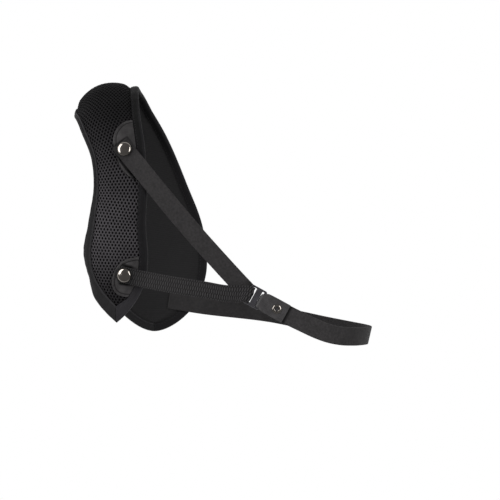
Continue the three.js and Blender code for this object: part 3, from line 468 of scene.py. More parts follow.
class Ribbon:
    """A flat strap through rows of point, normal, the way across and the width."""

    def __init__(self, rows, width):
        points = np.array([r["point"] for r in rows])
        self.knots = running(points)
        self.length = self.knots[-1]
        self.path = smooth(self.knots, points)
        ways = self.way(self.knots)
        across = [r.get("across", np.cross(r["normal"], w)) for r, w in zip(rows, ways)]
        self.across_at = smooth(self.knots, unit(np.array(across)))
        self.width_at = smooth(self.knots, [r.get("width", width) for r in rows])

    def way(self, t):
        t = np.asarray(t, float)
        after, before = np.minimum(self.length, t + STRAP_PROBE), np.maximum(0, t - STRAP_PROBE)
        return unit(self.path(after) - self.path(before))

    def at(self, t, across, raised):
        """Points at distances t, at shares of the half width across and raised off the middle."""
        side = unit(self.across_at(t))
        out = unit(np.cross(self.way(t), side))
        half = self.width_at(t)[..., None] / 2
        on_cloth = self.path(t) + side * half * np.asarray(across)[..., None]
        return on_cloth + out * np.asarray(raised)[..., None]


def cap_seat(name):
    """The strap's middle at a cap, the normal there and its height over the panel's middle surface."""
    along, across = SNAPS[name]
    height = float(panel_outer(along, across)) + PATCH_GAP + PATCH_WALL + STRAP_GAP + WEBBING / 2
    point, normal = on_panel(along, across, height)
    return {"point": point, "normal": normal, "height": height}


def from_cap(name, tail, table):
    """Rows of a strap: the tail beyond its cap and the cap, flat on the patch, then its table."""
    rows = []
    for row in table.values():
        turn = math.radians(BACK_TURN) * (OVAL_X - row[0]) / BACK_TURN_AT
        normal = np.array((-math.sin(turn), -math.cos(turn), 0))
        rows.append({"point": np.array(row, float), "normal": normal})
    seat = cap_seat(name)
    way = rows[0]["point"] - seat["point"]
    way = unit(way - seat["normal"] * (way @ seat["normal"]))
    shifts = (-tail, -tail / 2, 0, tail * 0.8)
    return [{"point": seat["point"] + way * s, "normal": seat["normal"]} for s in shifts] + rows


def half_turn(sign):
    """Angles of a half turn round a bar, from its outer to its inner side."""
    return [math.radians(90 + sign * 180 * k / LOOP_STEPS) for k in range(LOOP_STEPS + 1)]


def upper_strap_way():
    """From the upper cap down to the ring."""
    return Ribbon(from_cap("upper_snap", UPPER_STRAP_TAIL, UPPER_STRAP_ROWS), UPPER_STRAP_WIDTH)


def lower_strap_way():
    """From the lower cap round the ring's first bar and back under itself."""
    rows = from_cap("lower_snap", LOWER_STRAP_TAIL, LOWER_STRAP_ROWS)
    rows[0]["width"] = LOWER_TAIL_WIDTH
    radius = RING_BAR / 2 + STRAP_GAP + WEBBING / 2
    loop = []
    for angle in half_turn(-1):
        normal = PULL * math.cos(angle) + OUT * math.sin(angle)
        point = FIRST_BAR + normal * radius
        loop.append({"point": point, "normal": normal, "across": BAR, "width": LOWER_LOOP_WIDTH})
    back = rows[-1]["point"] - FIRST_BAR
    back[1] = 0
    back = unit(back)
    across = -unit(np.cross(back, OUT))
    across = across if across[2] >= 0 else -across
    turning = unit(across * LOWER_MEET_TURN + BAR * (1 - LOWER_MEET_TURN))
    pinched = WEBBING + GAP

    def layer(u, h, across):
        return {"point": FIRST_BAR + back * u + OUT * h, "normal": OUT * np.sign(h), "across": across}

    before = layer(LOWER_MEET_AT, pinched + STRAP_GAP, turning)
    after = layer(LOWER_MEET_AT, -pinched - STRAP_GAP, turning)
    end = layer(LOWER_STRAP_RETURN, -pinched, across)
    return Ribbon([*rows, before, *loop, after, end], LOWER_STRAP_WIDTH)


def tab_way():
    """From one end round the ring's last bar to the other end."""
    # One leg from its end to the fold: distance along the pull, height and width.
    leg = (
        (TAB_END, TAB_GRIP, TAB_WIDTH),
        ((TAB_END + RING_SECOND) / 2, TAB_GRIP, TAB_WIDTH),
        (RING_SECOND + 8.5, TAB_GRIP, TAB_WIDTH - 0.2),
        (RING_SECOND + 3, TAB_RADIUS - 0.2, TAB_WIDTH - 1.2),
    )
    fold = []
    for angle in half_turn(1):
        u, h = RING_SECOND + TAB_RADIUS * math.cos(angle), TAB_RADIUS * math.sin(angle)
        fold.append((u, h, TAB_FOLD_WIDTH))
    places = [*leg, *fold, *((u, -h, w) for u, h, w in leg[::-1])]
    rows = [{"point": in_ring(u, h), "normal": OUT, "across": -BAR, "width": w} for u, h, w in places]
    return Ribbon(rows, TAB_WIDTH)


def signed_power(value, power):
    """A power that keeps the sign of its base."""
    return math.copysign(abs(value) ** power, value)


def oval_at(turn):
    """The elastic's oval at a turn: x, y and the way outwards, which leans down at the sides."""
    sine, cosine = math.sin(math.radians(turn)), math.cos(math.radians(turn))
    depth = OVAL_BACK if cosine > 0 else OVAL_FRONT
    x = OVAL_HALF * signed_power(sine, 2 / OVAL_SQUARE)
    y = -depth * signed_power(cosine, 2 / OVAL_SQUARE)
    steep = OVAL_SQUARE - 1
    slopes = signed_power(x, steep) / OVAL_HALF**OVAL_SQUARE, signed_power(y, steep) / depth**OVAL_SQUARE
    normal = unit(np.array((*slopes, 0)))
    normal[2] = -math.tan(math.radians(OVAL_TAPER)) * abs(normal[0])
    return OVAL_X + x, y, unit(normal)


def elastic_way():
    """From the tab round the oval to the inner face of the chest half."""
    ends = (TAB_END - ELASTIC_IN_TAB, TAB_END - ELASTIC_IN_TAB / 2, TAB_END + 1)
    rows = [{"point": in_ring(u, 0), "normal": OUT} for u in ends]
    for turn, z in ELASTIC_ROWS:
        x, y, normal = oval_at(turn)
        rows.append({"point": np.array((x, y, z)), "normal": normal})
    edge = edge_at(True, edge_distance(True, np.array(float(ELASTIC_END["along"]))))[0][1]
    for k in range(ELASTIC_END["steps"] + 1):
        inwards = ELASTIC_END["reach"] * k / ELASTIC_END["steps"]
        along = ELASTIC_END["along"] - ELASTIC_END["rise"] * inwards
        point, normal = on_panel(along, edge + ELASTIC_END["over"] - inwards, -ELASTIC_END["below"])
        rows.append({"point": point, "normal": normal})
    return Ribbon(rows, ELASTIC_WIDTH)


# Meshes


def grid_faces(rows, columns, round_it=False):
    """Quads over a grid of points; round_it joins the last column to the first."""
    last = columns if round_it else columns - 1
    i, j = np.meshgrid(np.arange(rows - 1), np.arange(last), indexing="ij")
    here, beside = i * columns + j, i * columns + (j + 1) % columns
    return np.stack([here, beside, beside + columns, here + columns], -1).reshape(-1, 4)


def tube_faces(rows, columns):
    """Quads round a tube, with one face over each end."""
    first, last = range(columns), range((rows - 1) * columns, rows * columns)
    return [*grid_faces(rows, columns, True), first[::-1], last]


def slab(top, bottom):
    """A closed slab between two grids: its points, its faces, and 1 for the faces of the bottom, else 0."""
    index = np.arange(top.shape[0] * top.shape[1]).reshape(top.shape[:2])
    over = grid_faces(*index.shape)
    rim = np.concatenate([index[0], index[1:, -1], index[-1, -2::-1], index[-2:0:-1, 0]])
    ahead = np.roll(rim, -1)
    sides = np.stack([rim, ahead, ahead + index.size, rim + index.size], 1)
    points = np.concatenate([top.reshape(-1, 3), bottom.reshape(-1, 3)])
    faces = np.concatenate([over, over[:, ::-1] + index.size, sides])
    return points, faces, np.repeat((0, 1, 0), (len(over), len(over), len(sides)))


def put(name, data):
    """A new object in the scene, at the origin."""
    item = bpy.data.objects.new(name, data)
    bpy.context.scene.collection.objects.link(item)
    return item


def new_piece(name, points, faces, weave=None, finishes=(), finish_of=None):
    """An object from points in millimetres; weave gives each point's place on the cloth in millimetres."""
    mesh = bpy.data.meshes.new(name)
    places = np.asarray(points, float).reshape(-1, 3) * MM
    mesh.from_pydata(places.tolist(), [], [list(map(int, f)) for f in faces])
    for material in finishes:
        mesh.materials.append(material)
    if finish_of is not None:
        mesh.polygons.foreach_set("material_index", np.asarray(finish_of, np.int32))
    if weave is not None:
        loops = np.zeros(len(mesh.loops), np.int32)
        mesh.loops.foreach_get("vertex_index", loops)
        on_cloth = np.asarray(weave, float).reshape(-1, 2) * MM
        layer = mesh.uv_layers.new(name="weave")
        layer.data.foreach_set("uv", on_cloth[loops].astype(np.float32).ravel())
    mesh.shade_smooth()
    mesh.update()
    return put(name, mesh)


def close_up(piece, merge=FINE_MERGE):
    """Joins points that lie together, drops faces without area and turns all faces outwards."""
    work = bmesh.new()
    work.from_mesh(piece.data)
    bmesh.ops.remove_doubles(work, verts=work.verts, dist=merge)
    bmesh.ops.dissolve_degenerate(work, edges=work.edges, dist=NO_AREA)
    bmesh.ops.recalc_face_normals(work, faces=work.faces)
    work.to_mesh(piece.data)
    work.free()
    piece.data.update()
    return piece


def made_mesh(name, base):
    """The mesh that a curve or an object with modifiers gives; the object itself is removed."""
    depsgraph = bpy.context.evaluated_depsgraph_get()
    mesh = bpy.data.meshes.new_from_object(base.evaluated_get(depsgraph), depsgraph=depsgraph)
    if not mesh.polygons:
        raise RuntimeError(f"{name}: no faces were made")
    mesh.name = name
    base.modifiers.clear()
    bpy.data.objects.remove(base)
    return mesh


def settle(piece, slot, *nodes):
    """The piece rides on the one body and stands for CAD nodes, which are hidden; the slot is not used."""
    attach(piece, "root")
    if nodes:
        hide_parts(*nodes)


def turned(name, profile, at, axis, segments, finishes, finish_of=None):
    """A turned body: rows of radius and height, about a point and an axis."""
    z = unit(np.asarray(axis, float))
    x = unit(np.cross((0.0, 0.0, 1.0) if abs(z[2]) < 0.9 else (1.0, 0.0, 0.0), z))
    y = np.cross(z, x)
    angle = 2 * np.pi * np.arange(segments) / segments
    ring = np.cos(angle)[:, None] * x + np.sin(angle)[:, None] * y
    rows = np.asarray(profile, float)
    points = at + rows[:, 0, None, None] * ring[None] + rows[:, 1, None, None] * z
    faces = grid_faces(len(rows), segments, True)
    of = None if finish_of is None else np.repeat(np.asarray(finish_of), segments)
    return close_up(new_piece(name, points, faces, finishes=finishes, finish_of=of), TURNED_MERGE)


def cloth_section(columns, thickness, corner=4):
    """A strap's section: shares of the half width, bulge of the rounded edges, and heights."""
    r = thickness / 2
    top, level = np.linspace(-1, 1, columns), np.zeros(columns)
    turn = np.linspace(np.pi / 2, -np.pi / 2, corner + 2)[1:-1]
    share = np.concatenate([top, np.ones(corner), top[::-1], -np.ones(corner)])
    bulge = np.concatenate([level, np.cos(turn) * r, level, -np.cos(turn) * r])
    high = np.concatenate([level + r, np.sin(turn) * r, level - r, np.sin(turn[::-1]) * r])
    return share, bulge, high


def round_section(share, high, half):
    """Distances round a section from its first point."""
    return np.concatenate([[0], np.cumsum(np.hypot(np.diff(share) * half, np.diff(high)))])


def cloth_places(across, along):
    """Places on the cloth for a grid: the same across in each row and the same along in each column."""
    return np.stack(np.broadcast_arrays(across[None], along[:, None]), -1)


def strap(name, way, cloth, thickness=WEBBING, columns=24, step=2.0, wander=0.0, relief=None, mould=None):
    """A ribbon of cloth with rounded edges.

    wander lets its faces wave a little, relief raises its outer face and mould moves its points.
    """
    t = np.linspace(0, way.length, max(STRAP_FEWEST_STEPS, round(way.length / step)) + 1)
    share, bulge, high = cloth_section(columns, thickness)
    edge = thickness / 2
    half = way.width_at(t)[:, None] / 2
    shares = share[None] * (1 - edge / half) + bulge[None] / half
    slow, quick = STRAP_WAVES
    waves = np.sin(t / slow + 1.0) + 0.6 * np.sin(t / quick)
    raised = high[None] + wander * waves[:, None] * (0.4 + 0.6 * share[None])
    if relief:
        raised = raised + relief(t[:, None], share[None]) * np.clip(high / edge, 0, 1)[None]
    points = way.at(np.repeat(t[:, None], len(share), 1), shares, raised)
    if mould:
        points = points + mould(t[:, None], share[None])
    weave = cloth_places(round_section(share, high, half.max()), t)
    return close_up(new_piece(name, points, tube_faces(len(t), len(share)), weave, [cloth]))


# Shaders and node trees


def operation(kind, swapped=False):
    """A method that adds one Math node; swapped is for a number on the left."""

    def method(self, *others):
        return self.math(kind, *((*others, self) if swapped else (self, *others)))

    return method


class Wire:
    """One output socket of a node tree. Sums and products of wires add their Math nodes."""

    def __init__(self, socket):
        self.socket = socket
        self.tree = socket.id_data

    @classmethod
    def add(cls, tree, kind, settings=None, inputs=None, output=0):
        """Adds any node: its settings come first, then the values or wires of its sockets."""
        node = tree.nodes.new(kind)
        for name, value in (settings or {}).items():
            setattr(node, name, value)
        for name, value in (inputs or {}).items():
            if isinstance(value, Wire):
                tree.links.new(value.socket, node.inputs[name])
            else:
                node.inputs[name].default_value = value
        return cls(node.outputs[output])

    def math(self, kind, *values):
        return Wire.add(self.tree, "ShaderNodeMath", {"operation": kind}, dict(enumerate(values)))

    __add__, __radd__ = operation("ADD"), operation("ADD", True)
    __sub__, __rsub__ = operation("SUBTRACT"), operation("SUBTRACT", True)
    __mul__, __rmul__ = operation("MULTIPLY"), operation("MULTIPLY", True)
    __truediv__ = operation("DIVIDE")
    __pow__ = operation("POWER")
    __mod__ = operation("FLOORED_MODULO")
    __abs__ = operation("ABSOLUTE")
    floor = operation("FLOOR")
    sin = operation("SINE")

    def ranged(self, low, high, first, last):
        """Eases from first to last as the value goes from low to high."""
        settings = {"clamp": True, "interpolation_type": "SMOOTHSTEP"}
        inputs = {"Value": self, "From Min": low, "From Max": high, "To Min": first, "To Max": last}
        return Wire.add(self.tree, "ShaderNodeMapRange", settings, inputs)

    def parts(self):
        """Its x, y and z."""
        split = Wire.add(self.tree, "ShaderNodeSeparateXYZ", {}, {0: self})
        return [Wire(socket) for socket in split.socket.node.outputs]


def wave(x, pitch):
    """A wave between -1 and 1 that repeats every pitch."""
    return (x * (2 * math.pi / pitch)).sin()


class Look:
    """A finish in the making: constants go straight on its shader's sockets, wires draw its pattern."""

    def __init__(self, name, colour, roughness, specular, metallic=0.0):
        self.material = bpy.data.materials.new(name)
        self.material.use_nodes = True
        self.material.diffuse_color = (*colour, 1)
        self.colour = colour
        self.tree = self.material.node_tree
        self.sockets = self.tree.nodes["Principled BSDF"].inputs
        self.sockets["Base Color"].default_value = (*colour, 1)
        self.sockets["Roughness"].default_value = roughness
        self.sockets["Specular IOR Level"].default_value = specular
        self.sockets["Metallic"].default_value = metallic
        self.place = Wire.add(self.tree, "ShaderNodeTexCoord", {}, {}, "Object")

    def link(self, socket, wire):
        self.tree.links.new(wire.socket, self.sockets[socket])

    def noise(self, scale, detail=2.0):
        inputs = {"Vector": self.place, "Scale": scale, "Detail": detail, "Roughness": 0.55}
        return Wire.add(self.tree, "ShaderNodeTexNoise", {}, inputs)

    def weave(self):
        """Places on the cloth in metres: across, along."""
        return Wire.add(self.tree, "ShaderNodeUVMap", {"uv_map": "weave"}).parts()[:2]

    def tint(self, share):
        """Base colour that goes from black at share 0 to twice the colour at share 1."""
        settings = {"data_type": "RGBA", "clamp_factor": True}
        light = (*(min(1, c * 2) for c in self.colour), 1)
        inputs = {0: share, 6: (0, 0, 0, 1), 7: light}
        self.link("Base Color", Wire.add(self.tree, "ShaderNodeMix", settings, inputs, 2))

    def bump(self, height, strength, distance):
        inputs = {"Height": height, "Strength": strength, "Distance": distance}
        self.link("Normal", Wire.add(self.tree, "ShaderNodeBump", {}, inputs))


def finish(colour, roughness, specular, metallic=0.0):
    """Each finish is made once, by the function that draws its pattern, and shared by its pieces."""

    def drawn_by(draw):
        def get(colours):
            name = draw.__name__
            if name not in bpy.data.materials:
                draw(Look(name, getattr(colours, colour), roughness, specular, metallic))
            return bpy.data.materials[name]

        return get

    return drawn_by


@finish("net", 0.82, 0.14)
def net_yarn(look):
    """Knitted yarn of the open net: fuzzy fibres; painted shade darkens it up towards the shoulder, it is
    darker at its lowest part, and painted light lightens the arm side.
    """
    fuzz, patchy = look.noise(1500.0, 3.0), look.noise(60.0)
    x, _, height = look.place.parts()
    # Painted shade makes it darker up towards the shoulder, it is also darker at its lowest part, and painted
    # light makes the arm side lighter.
    wear_and_painted_shading = height.ranged(-0.15, 0.005, 0.8, 0.08) * height.ranged(-0.225, -0.15, 0.25, 1.0)
    wear_and_painted_shading = wear_and_painted_shading * x.ranged(-0.03, 0.04, 1.22, 0.86)
    look.tint((0.2 + 0.36 * fuzz + 0.24 * patchy) * wear_and_painted_shading)
    look.bump(fuzz, 0.5, 0.0003)
    look.link("Roughness", 0.7 + 0.2 * fuzz)


@finish("padding", 0.95, 0.05)
def padding_core(look):
    """Dark filling seen through the net; its near-black colour is partly its own and partly painted shade
    deep in the holes.
    """
    fuzz = look.noise(900.0)
    look.tint(0.25 + 0.5 * fuzz)
    look.bump(fuzz, 0.4, 0.0004)


@finish("lining", 0.88, 0.15)
def lining_knit(look):
    """Close knit on the inner face: small staggered stitches."""
    across, along = look.weave()
    courses = wave(along, 0.0021)
    loops = wave(across + courses * 0.00022, 0.0014) * 0.5 + courses * 0.35
    fuzz = look.noise(1300.0)
    look.tint(0.4 + 0.12 * loops + 0.2 * fuzz)
    look.bump(loops * 0.6 + fuzz * 0.5, 0.55, 0.0003)


def tape_cloth(side, colours):
    """Smooth folded tape: fine plain weave and a little lint, with painted light and shade by the tip, fold,
    hem and shoulder.
    """
    look = Look(f"{side}_side_tape_cloth", getattr(colours, f"{side}_tape"), 0.74, 0.2)
    painted_light = TAPE_PAINTED_LIGHT[side]
    across, along = look.weave()
    threads = wave(across, 0.0007) * wave(along, 0.0007)
    lint, wear_and_painted_shading = look.noise(700.0, 3.0), look.noise(45.0, 3.0)
    from_fold = abs(across - TAPE_FOLD_AT)
    height = look.place.parts()[2]
    # Painted light and shade by the distance from the tip, a painted highlight beside the fold and a lighter
    # line along the hem.
    painted_shading = along.ranged(0.03, 0.075, painted_light["tip"], painted_light["rest"])
    painted_shading = painted_shading * from_fold.ranged(0.001, 0.0055, painted_light["fold"], 1.0)
    painted_shading = painted_shading * from_fold.ranged(0.0118, 0.0125, 1.0, painted_light["hem"])
    # Painted shade over the shoulder: on the tape away from its fold, then on all of it at the top.
    beside_fold = height.ranged(-0.075, -0.035, 1.0, painted_light["shoulder"])
    painted_shading = painted_shading * from_fold.ranged(0.0035, 0.0065, 1.0, beside_fold)
    painted_shading = painted_shading * height.ranged(-0.025, 0.005, 1.0, painted_light["shoulder"])
    look.tint((0.22 + 0.07 * threads + 0.2 * lint + 0.36 * wear_and_painted_shading) * painted_shading)
    look.bump(threads * 0.35 + lint * 0.8, 0.4, 0.00022)
    look.link("Roughness", 0.6 + 0.22 * wear_and_painted_shading)
    return look.material


def leather_grain(look):
    """Fine leather grain pressed into vinyl; gives the share of its colour."""
    inputs = {"Vector": look.place, "Scale": 1500.0, "Randomness": 1.0}
    cells = Wire.add(look.tree, "ShaderNodeTexVoronoi", {"feature": "DISTANCE_TO_EDGE"}, inputs)
    grain = cells.math("SMOOTH_MIN", cells * 4.0, 0.6, 0.2)
    cloudy = look.noise(120.0, 3.0)
    look.bump(grain + cloudy * 0.6, 0.22, 0.00015)
    look.link("Roughness", 0.4 + 0.2 * cloudy)
    return 0.1 + 0.16 * grain + 0.62 * cloudy


@finish("tab", 0.5, 0.4)
def tab_vinyl(look):
    """Vinyl of the tab."""
    look.tint(leather_grain(look))


@finish("vinyl", 0.5, 0.15)
def patch_vinyl(look):
    """Vinyl of the patches, with painted shade in the groove beside the turned edge and painted shadow round
    the strap's end.
    """
    away, from_strap = look.weave()
    groove = abs(away - (bpy.context.scene.chest_guard_sizes.patch_border + 0.0004))
    # Painted shade in the groove and painted shadow of the strap round its end.
    pressed_line_and_painted_shade = groove.ranged(0.0002, 0.0009, 0.35, 1.0) * from_strap.ranged(0.0017, 0.0042, 0.0, 1.0)
    look.tint(leather_grain(look) * pressed_line_and_painted_shade)


@finish("webbing", 0.7, 0.3)
def twill_webbing(look):
    """Smooth webbing: fine diagonal twill with slubs, darker at its end."""
    across, along = look.weave()
    twill = wave(across * 0.8 + along, 0.0012)
    yarns = wave(along, 0.0006)
    fuzz, slub, cloudy = look.noise(1100.0, 3.0), look.noise(420.0), look.noise(70.0)
    end = along.ranged(0.012, 0.026, 0.55, 1.0)
    look.tint((0.09 * twill + 0.2 * fuzz + 0.56 * slub + 0.2 * cloudy) * end)
    look.bump(twill * 0.6 + yarns * 0.2 + fuzz * 0.5, 0.5, 0.0002)
    look.link("Roughness", 0.62 + 0.18 * fuzz)


@finish("ribbed", 0.62, 0.35)
def rib_weave(look):
    """Ribbed webbing: yarn ends over the ribs, painted shade between them and painted light on their tops,
    and darker at its end.
    """
    across, along = look.weave()
    yarns = wave(across, 0.0006)
    rib = Wire.add(look.tree, "ShaderNodeAttribute", {"attribute_name": "rib"}, {}, "Fac")
    fuzz = look.noise(1200.0)
    end = along.ranged(0.012, 0.04, 0.5, 1.0)
    # Painted shade between the ribs and painted light on their tops, from the stored rib share.
    look.tint((0.3 + 0.08 * yarns + 0.3 * fuzz) * end * rib.ranged(0.35, 0.95, 0.06, 1.4))
    look.bump(yarns * 0.5 + fuzz * 0.5, 0.45, 0.0002)
    look.link("Roughness", 0.52 + 0.2 * fuzz)


@finish("elastic", 0.72, 0.28)
def woven_elastic(look):
    """Elastic: rubber cords along it under fine cross threads, with a painted shadow beside the tab and
    painted light near it that turns to painted shade further round.
    """
    across, along = look.weave()
    cords = wave(across, 0.00125)
    threads = wave(along, 0.0008)
    fuzz, slub, cloudy = look.noise(1000.0), look.noise(400.0), look.noise(55.0)
    # Painted shadow beside the tab's end, and painted light near the tab that turns to painted shade further
    # round.
    beside_tab = along.ranged(0.0255, 0.0295, 0.1, 1.0)
    painted_light_and_shade = along.ranged(0.07, 0.125, 1.45, 0.83) * beside_tab
    pattern = 0.02 + 0.07 * cords + 0.05 * threads + 0.2 * fuzz + 0.5 * slub + 0.26 * cloudy
    look.tint(pattern * painted_light_and_shade)
    look.bump(cords * 0.5 + threads * 0.35 + fuzz * 0.4, 0.45, 0.0002)
    look.link("Roughness", 0.62 + 0.18 * fuzz)


@finish("metal", 0.14, 0.5, 1.0)
def polished_nickel(look):
    """Polished nickel with faint handling marks."""
    smudge, scratch = look.noise(180.0, 3.0), look.noise(2400.0)
    look.tint(0.42 + 0.16 * smudge)
    look.bump(scratch, 0.06, 0.0001)
    look.link("Roughness", 0.07 + 0.12 * smudge)


@finish("padding", 0.6, 0.2)
def dark_recess(look):
    """Near-black bore and floor of the eyelet: painted shade for the dark inside of the hole."""
    look.tint(0.3 + 0.5 * look.noise(1500.0))


@finish("ring", 0.2, 0.5)
def gloss_plastic(look):
    """Moulded glossy plastic with faint flow marks."""
    flow = look.noise(140.0, 3.0)
    look.tint(0.3 + 0.4 * flow)
    look.bump(flow, 0.08, 0.0003)
    look.link("Roughness", 0.22 + 0.2 * flow)


@finish("thread", 0.65, 0.35)
def sewing_thread(look):
    """Twisted thread."""
    x, y, z = look.place.parts()
    twist = wave(x + y * 0.7 + z, 0.0007)
    look.tint(0.45 + 0.2 * twist)
    look.bump(twist, 0.3, 0.0001)


# Geometry Nodes


def new_tree(name, **sockets):
    """A Geometry Nodes tree: what adds its nodes, and its inputs by name; sockets lists names by kind."""
    tree = bpy.data.node_groups.new(name, "GeometryNodeTree")
    for kind, labels in {"Geometry": ["Geometry"], "Material": ["Finish"], **sockets}.items():
        for label in labels:
            tree.interface.new_socket(label, in_out="INPUT", socket_type=f"NodeSocket{kind}")
    tree.interface.new_socket("Geometry", in_out="OUTPUT", socket_type="NodeSocketGeometry")
    source = tree.nodes.new("NodeGroupInput")
    return partial(Wire.add, tree), {socket.name: Wire(socket) for socket in source.outputs if socket.name}


def end_tree(add, geometry, given):
    """Every tree ends in smooth shading, Realize Instances and Set Material."""
    rounded = add("GeometryNodeSetShadeSmooth", {}, {"Geometry": geometry})
    real = add("GeometryNodeRealizeInstances", {}, {"Geometry": rounded})
    dressed = add("GeometryNodeSetMaterial", {}, {"Geometry": real, "Material": given["Finish"]})
    end = dressed.tree.nodes.new("NodeGroupOutput")
    dressed.tree.links.new(dressed.socket, end.inputs[0])
    return dressed.tree


def grow(name, base, tree, values):
    """Runs a tree on an object and returns the result as a plain piece; the base is removed."""
    modifier = base.modifiers.new("grow", "NODES")
    modifier.node_group = tree
    for item in tree.interface.items_tree:
        if item.item_type == "SOCKET" and item.in_out == "INPUT" and item.name in values:
            modifier[item.identifier] = values[item.name]
    base.update_tag()
    return put(name, made_mesh(name, base))


def stored(add, name):
    """A vector stored at each point of the base."""
    return add("GeometryNodeInputNamedAttribute", {"data_type": "FLOAT_VECTOR"}, {"Name": name})


def scaled(add, vector, scale):
    """A vector times a number."""
    return add("ShaderNodeVectorMath", {"operation": "SCALE"}, {0: vector, "Scale": scale})


def net_tree():
    """Lays cells of a net over a ground by its flat pattern: rows along it, staggered by half a pitch."""
    floats, counts = ["Pitch", "Row Pitch", "Middle"], ["First Row", "Rows", "Columns"]
    add, given = new_tree("net over the panel", Object=["Cell"], Float=floats, Int=counts)
    index = add("GeometryNodeInputIndex")
    column = index % given["Columns"]
    row = (index / given["Columns"]).floor() + given["First Row"]
    along = row * given["Row Pitch"]
    stagger = (row % 2) * 0.5
    across = (column + stagger - given["Columns"] * 0.5) * given["Pitch"] + given["Middle"]
    place = add("ShaderNodeCombineXYZ", {}, {0: along, 1: across})
    count = given["Columns"] * given["Rows"]
    points = add("GeometryNodePoints", {}, {"Count": count, "Position": place})
    cell = add("GeometryNodeObjectInfo", {}, {"Object": given["Cell"]}, "Geometry")
    laid = add("GeometryNodeInstanceOnPoints", {}, {"Points": points, "Instance": cell})
    net = add("GeometryNodeRealizeInstances", {}, {"Geometry": laid})
    flat, ground = add("GeometryNodeInputPosition"), add("GeometryNodeInputPosition")
    pattern = stored(add, "flat")

    def sampled(value, output):
        inputs = {"Mesh": given["Geometry"], "Value": value, "Source UV Map": pattern, "Sample UV": flat}
        return add("GeometryNodeSampleUVSurface", {"data_type": "FLOAT_VECTOR"}, inputs, output)

    off_it = add("FunctionNodeBooleanMath", {"operation": "NOT"}, {0: sampled(ground, "Is Valid")})
    cut_off = {"Geometry": net, "Selection": off_it}
    kept = add("GeometryNodeDeleteGeometry", {"domain": "POINT"}, cut_off)
    up = scaled(add, sampled(stored(add, "out"), "Value"), flat.parts()[2])
    moved = add("ShaderNodeVectorMath", {"operation": "ADD"}, {0: sampled(ground, "Value"), 1: up})
    shaped = add("GeometryNodeSetPosition", {}, {"Geometry": kept, "Position": moved})
    return end_tree(add, shaped, given)


def stitch_tree():
    """Sews along seams: stitches of one length and pitch that follow the seam and lie on the cloth."""
    add, given = new_tree("stitches along a seam", Float=["Length", "Pitch", "Thread"])
    seam = add("GeometryNodeMeshToCurve", {}, {"Mesh": given["Geometry"]})
    spacing = {"Curve": seam, "Length": given["Pitch"]}
    spaced = add("GeometryNodeResampleCurve", {"mode": "LENGTH"}, spacing)
    facets = {"Segments": STITCH_SEGMENTS, "Rings": STITCH_RINGS, "Radius": 0.5}
    ball = add("GeometryNodeMeshUVSphere", {}, facets)
    thread = given["Thread"]
    size = add("ShaderNodeCombineXYZ", {}, {0: given["Length"], 1: thread, 2: thread})
    stitch = add("GeometryNodeTransform", {}, {"Geometry": ball, "Scale": size})
    way = {"Vector": add("GeometryNodeInputTangent")}
    lie = add("FunctionNodeAlignRotationToVector", {"axis": "X"}, way)
    outwards = {"Rotation": lie, "Vector": stored(add, "out")}
    face = add("FunctionNodeAlignRotationToVector", {"axis": "Z", "pivot_axis": "X"}, outwards)
    sewing = {"Points": spaced, "Instance": stitch, "Rotation": face}
    sewn = add("GeometryNodeInstanceOnPoints", {}, sewing)
    real = add("GeometryNodeRealizeInstances", {}, {"Geometry": sewn})
    return end_tree(add, real, given)


def rib_tree():
    """Raises ribs across a strap in staggered lanes, from its places on the cloth."""
    add, given = new_tree("ribs across a strap", Float=["Pitch", "Lane", "Border", "Height"])
    across, along, face = stored(add, "cloth").parts()
    lane = (across - given["Border"]) / given["Lane"]
    offset = (lane.floor() % 2) * 0.5
    rib = abs(((along / given["Pitch"] + offset) * math.pi).sin()) ** RIB_POWER
    groove = (1 - LANE_DEPTH) + LANE_DEPTH * abs((lane * math.pi).sin()) ** LANE_POWER
    share = rib * groove
    shift = scaled(add, add("GeometryNodeInputNormal"), (share - RIB_LEVEL) * face * given["Height"])
    raised = add("GeometryNodeSetPosition", {}, {"Geometry": given["Geometry"], "Offset": shift})
    # The rib share is kept as rib for the painted shade and light of the ribbed webbing.
    marked = {"Geometry": raised, "Name": "rib", "Value": share}
    return end_tree(add, add("GeometryNodeStoreNamedAttribute", {}, marked), given)


def store_vectors(mesh, name, values):
    layer = mesh.attributes.new(name, "FLOAT_VECTOR", "POINT")
    layer.data.foreach_set("vector", np.asarray(values, np.float32).ravel())


def seam_object(name, seams):
    """Polylines with the cloth's normal at each point; seams lists (points, normals) in millimetres."""
    edges, start = [], 0
    for points, _ in seams:
        edges += [(start + i, start + i + 1) for i in range(len(points) - 1)]
        start += len(points)
    mesh = bpy.data.meshes.new(name)
    mesh.from_pydata((np.concatenate([points for points, _ in seams]) * MM).tolist(), edges, [])
    store_vectors(mesh, "out", np.concatenate([normals for _, normals in seams]))
    return put(name, mesh)


# What a user would change


def number(label, text, value, subtype="NONE", **limits):
    return FloatProperty(name=label, description=text, default=value, subtype=subtype, **limits)


def length(label, text, value):
    return number(label, text, value, "DISTANCE", min=0, precision=5, unit="LENGTH")


def paint(label, text, *value):
    limits = {"size": 3, "min": 0, "max": 1, "precision": 4}
    return FloatVectorProperty(name=label, description=text, default=value, subtype="COLOR", **limits)


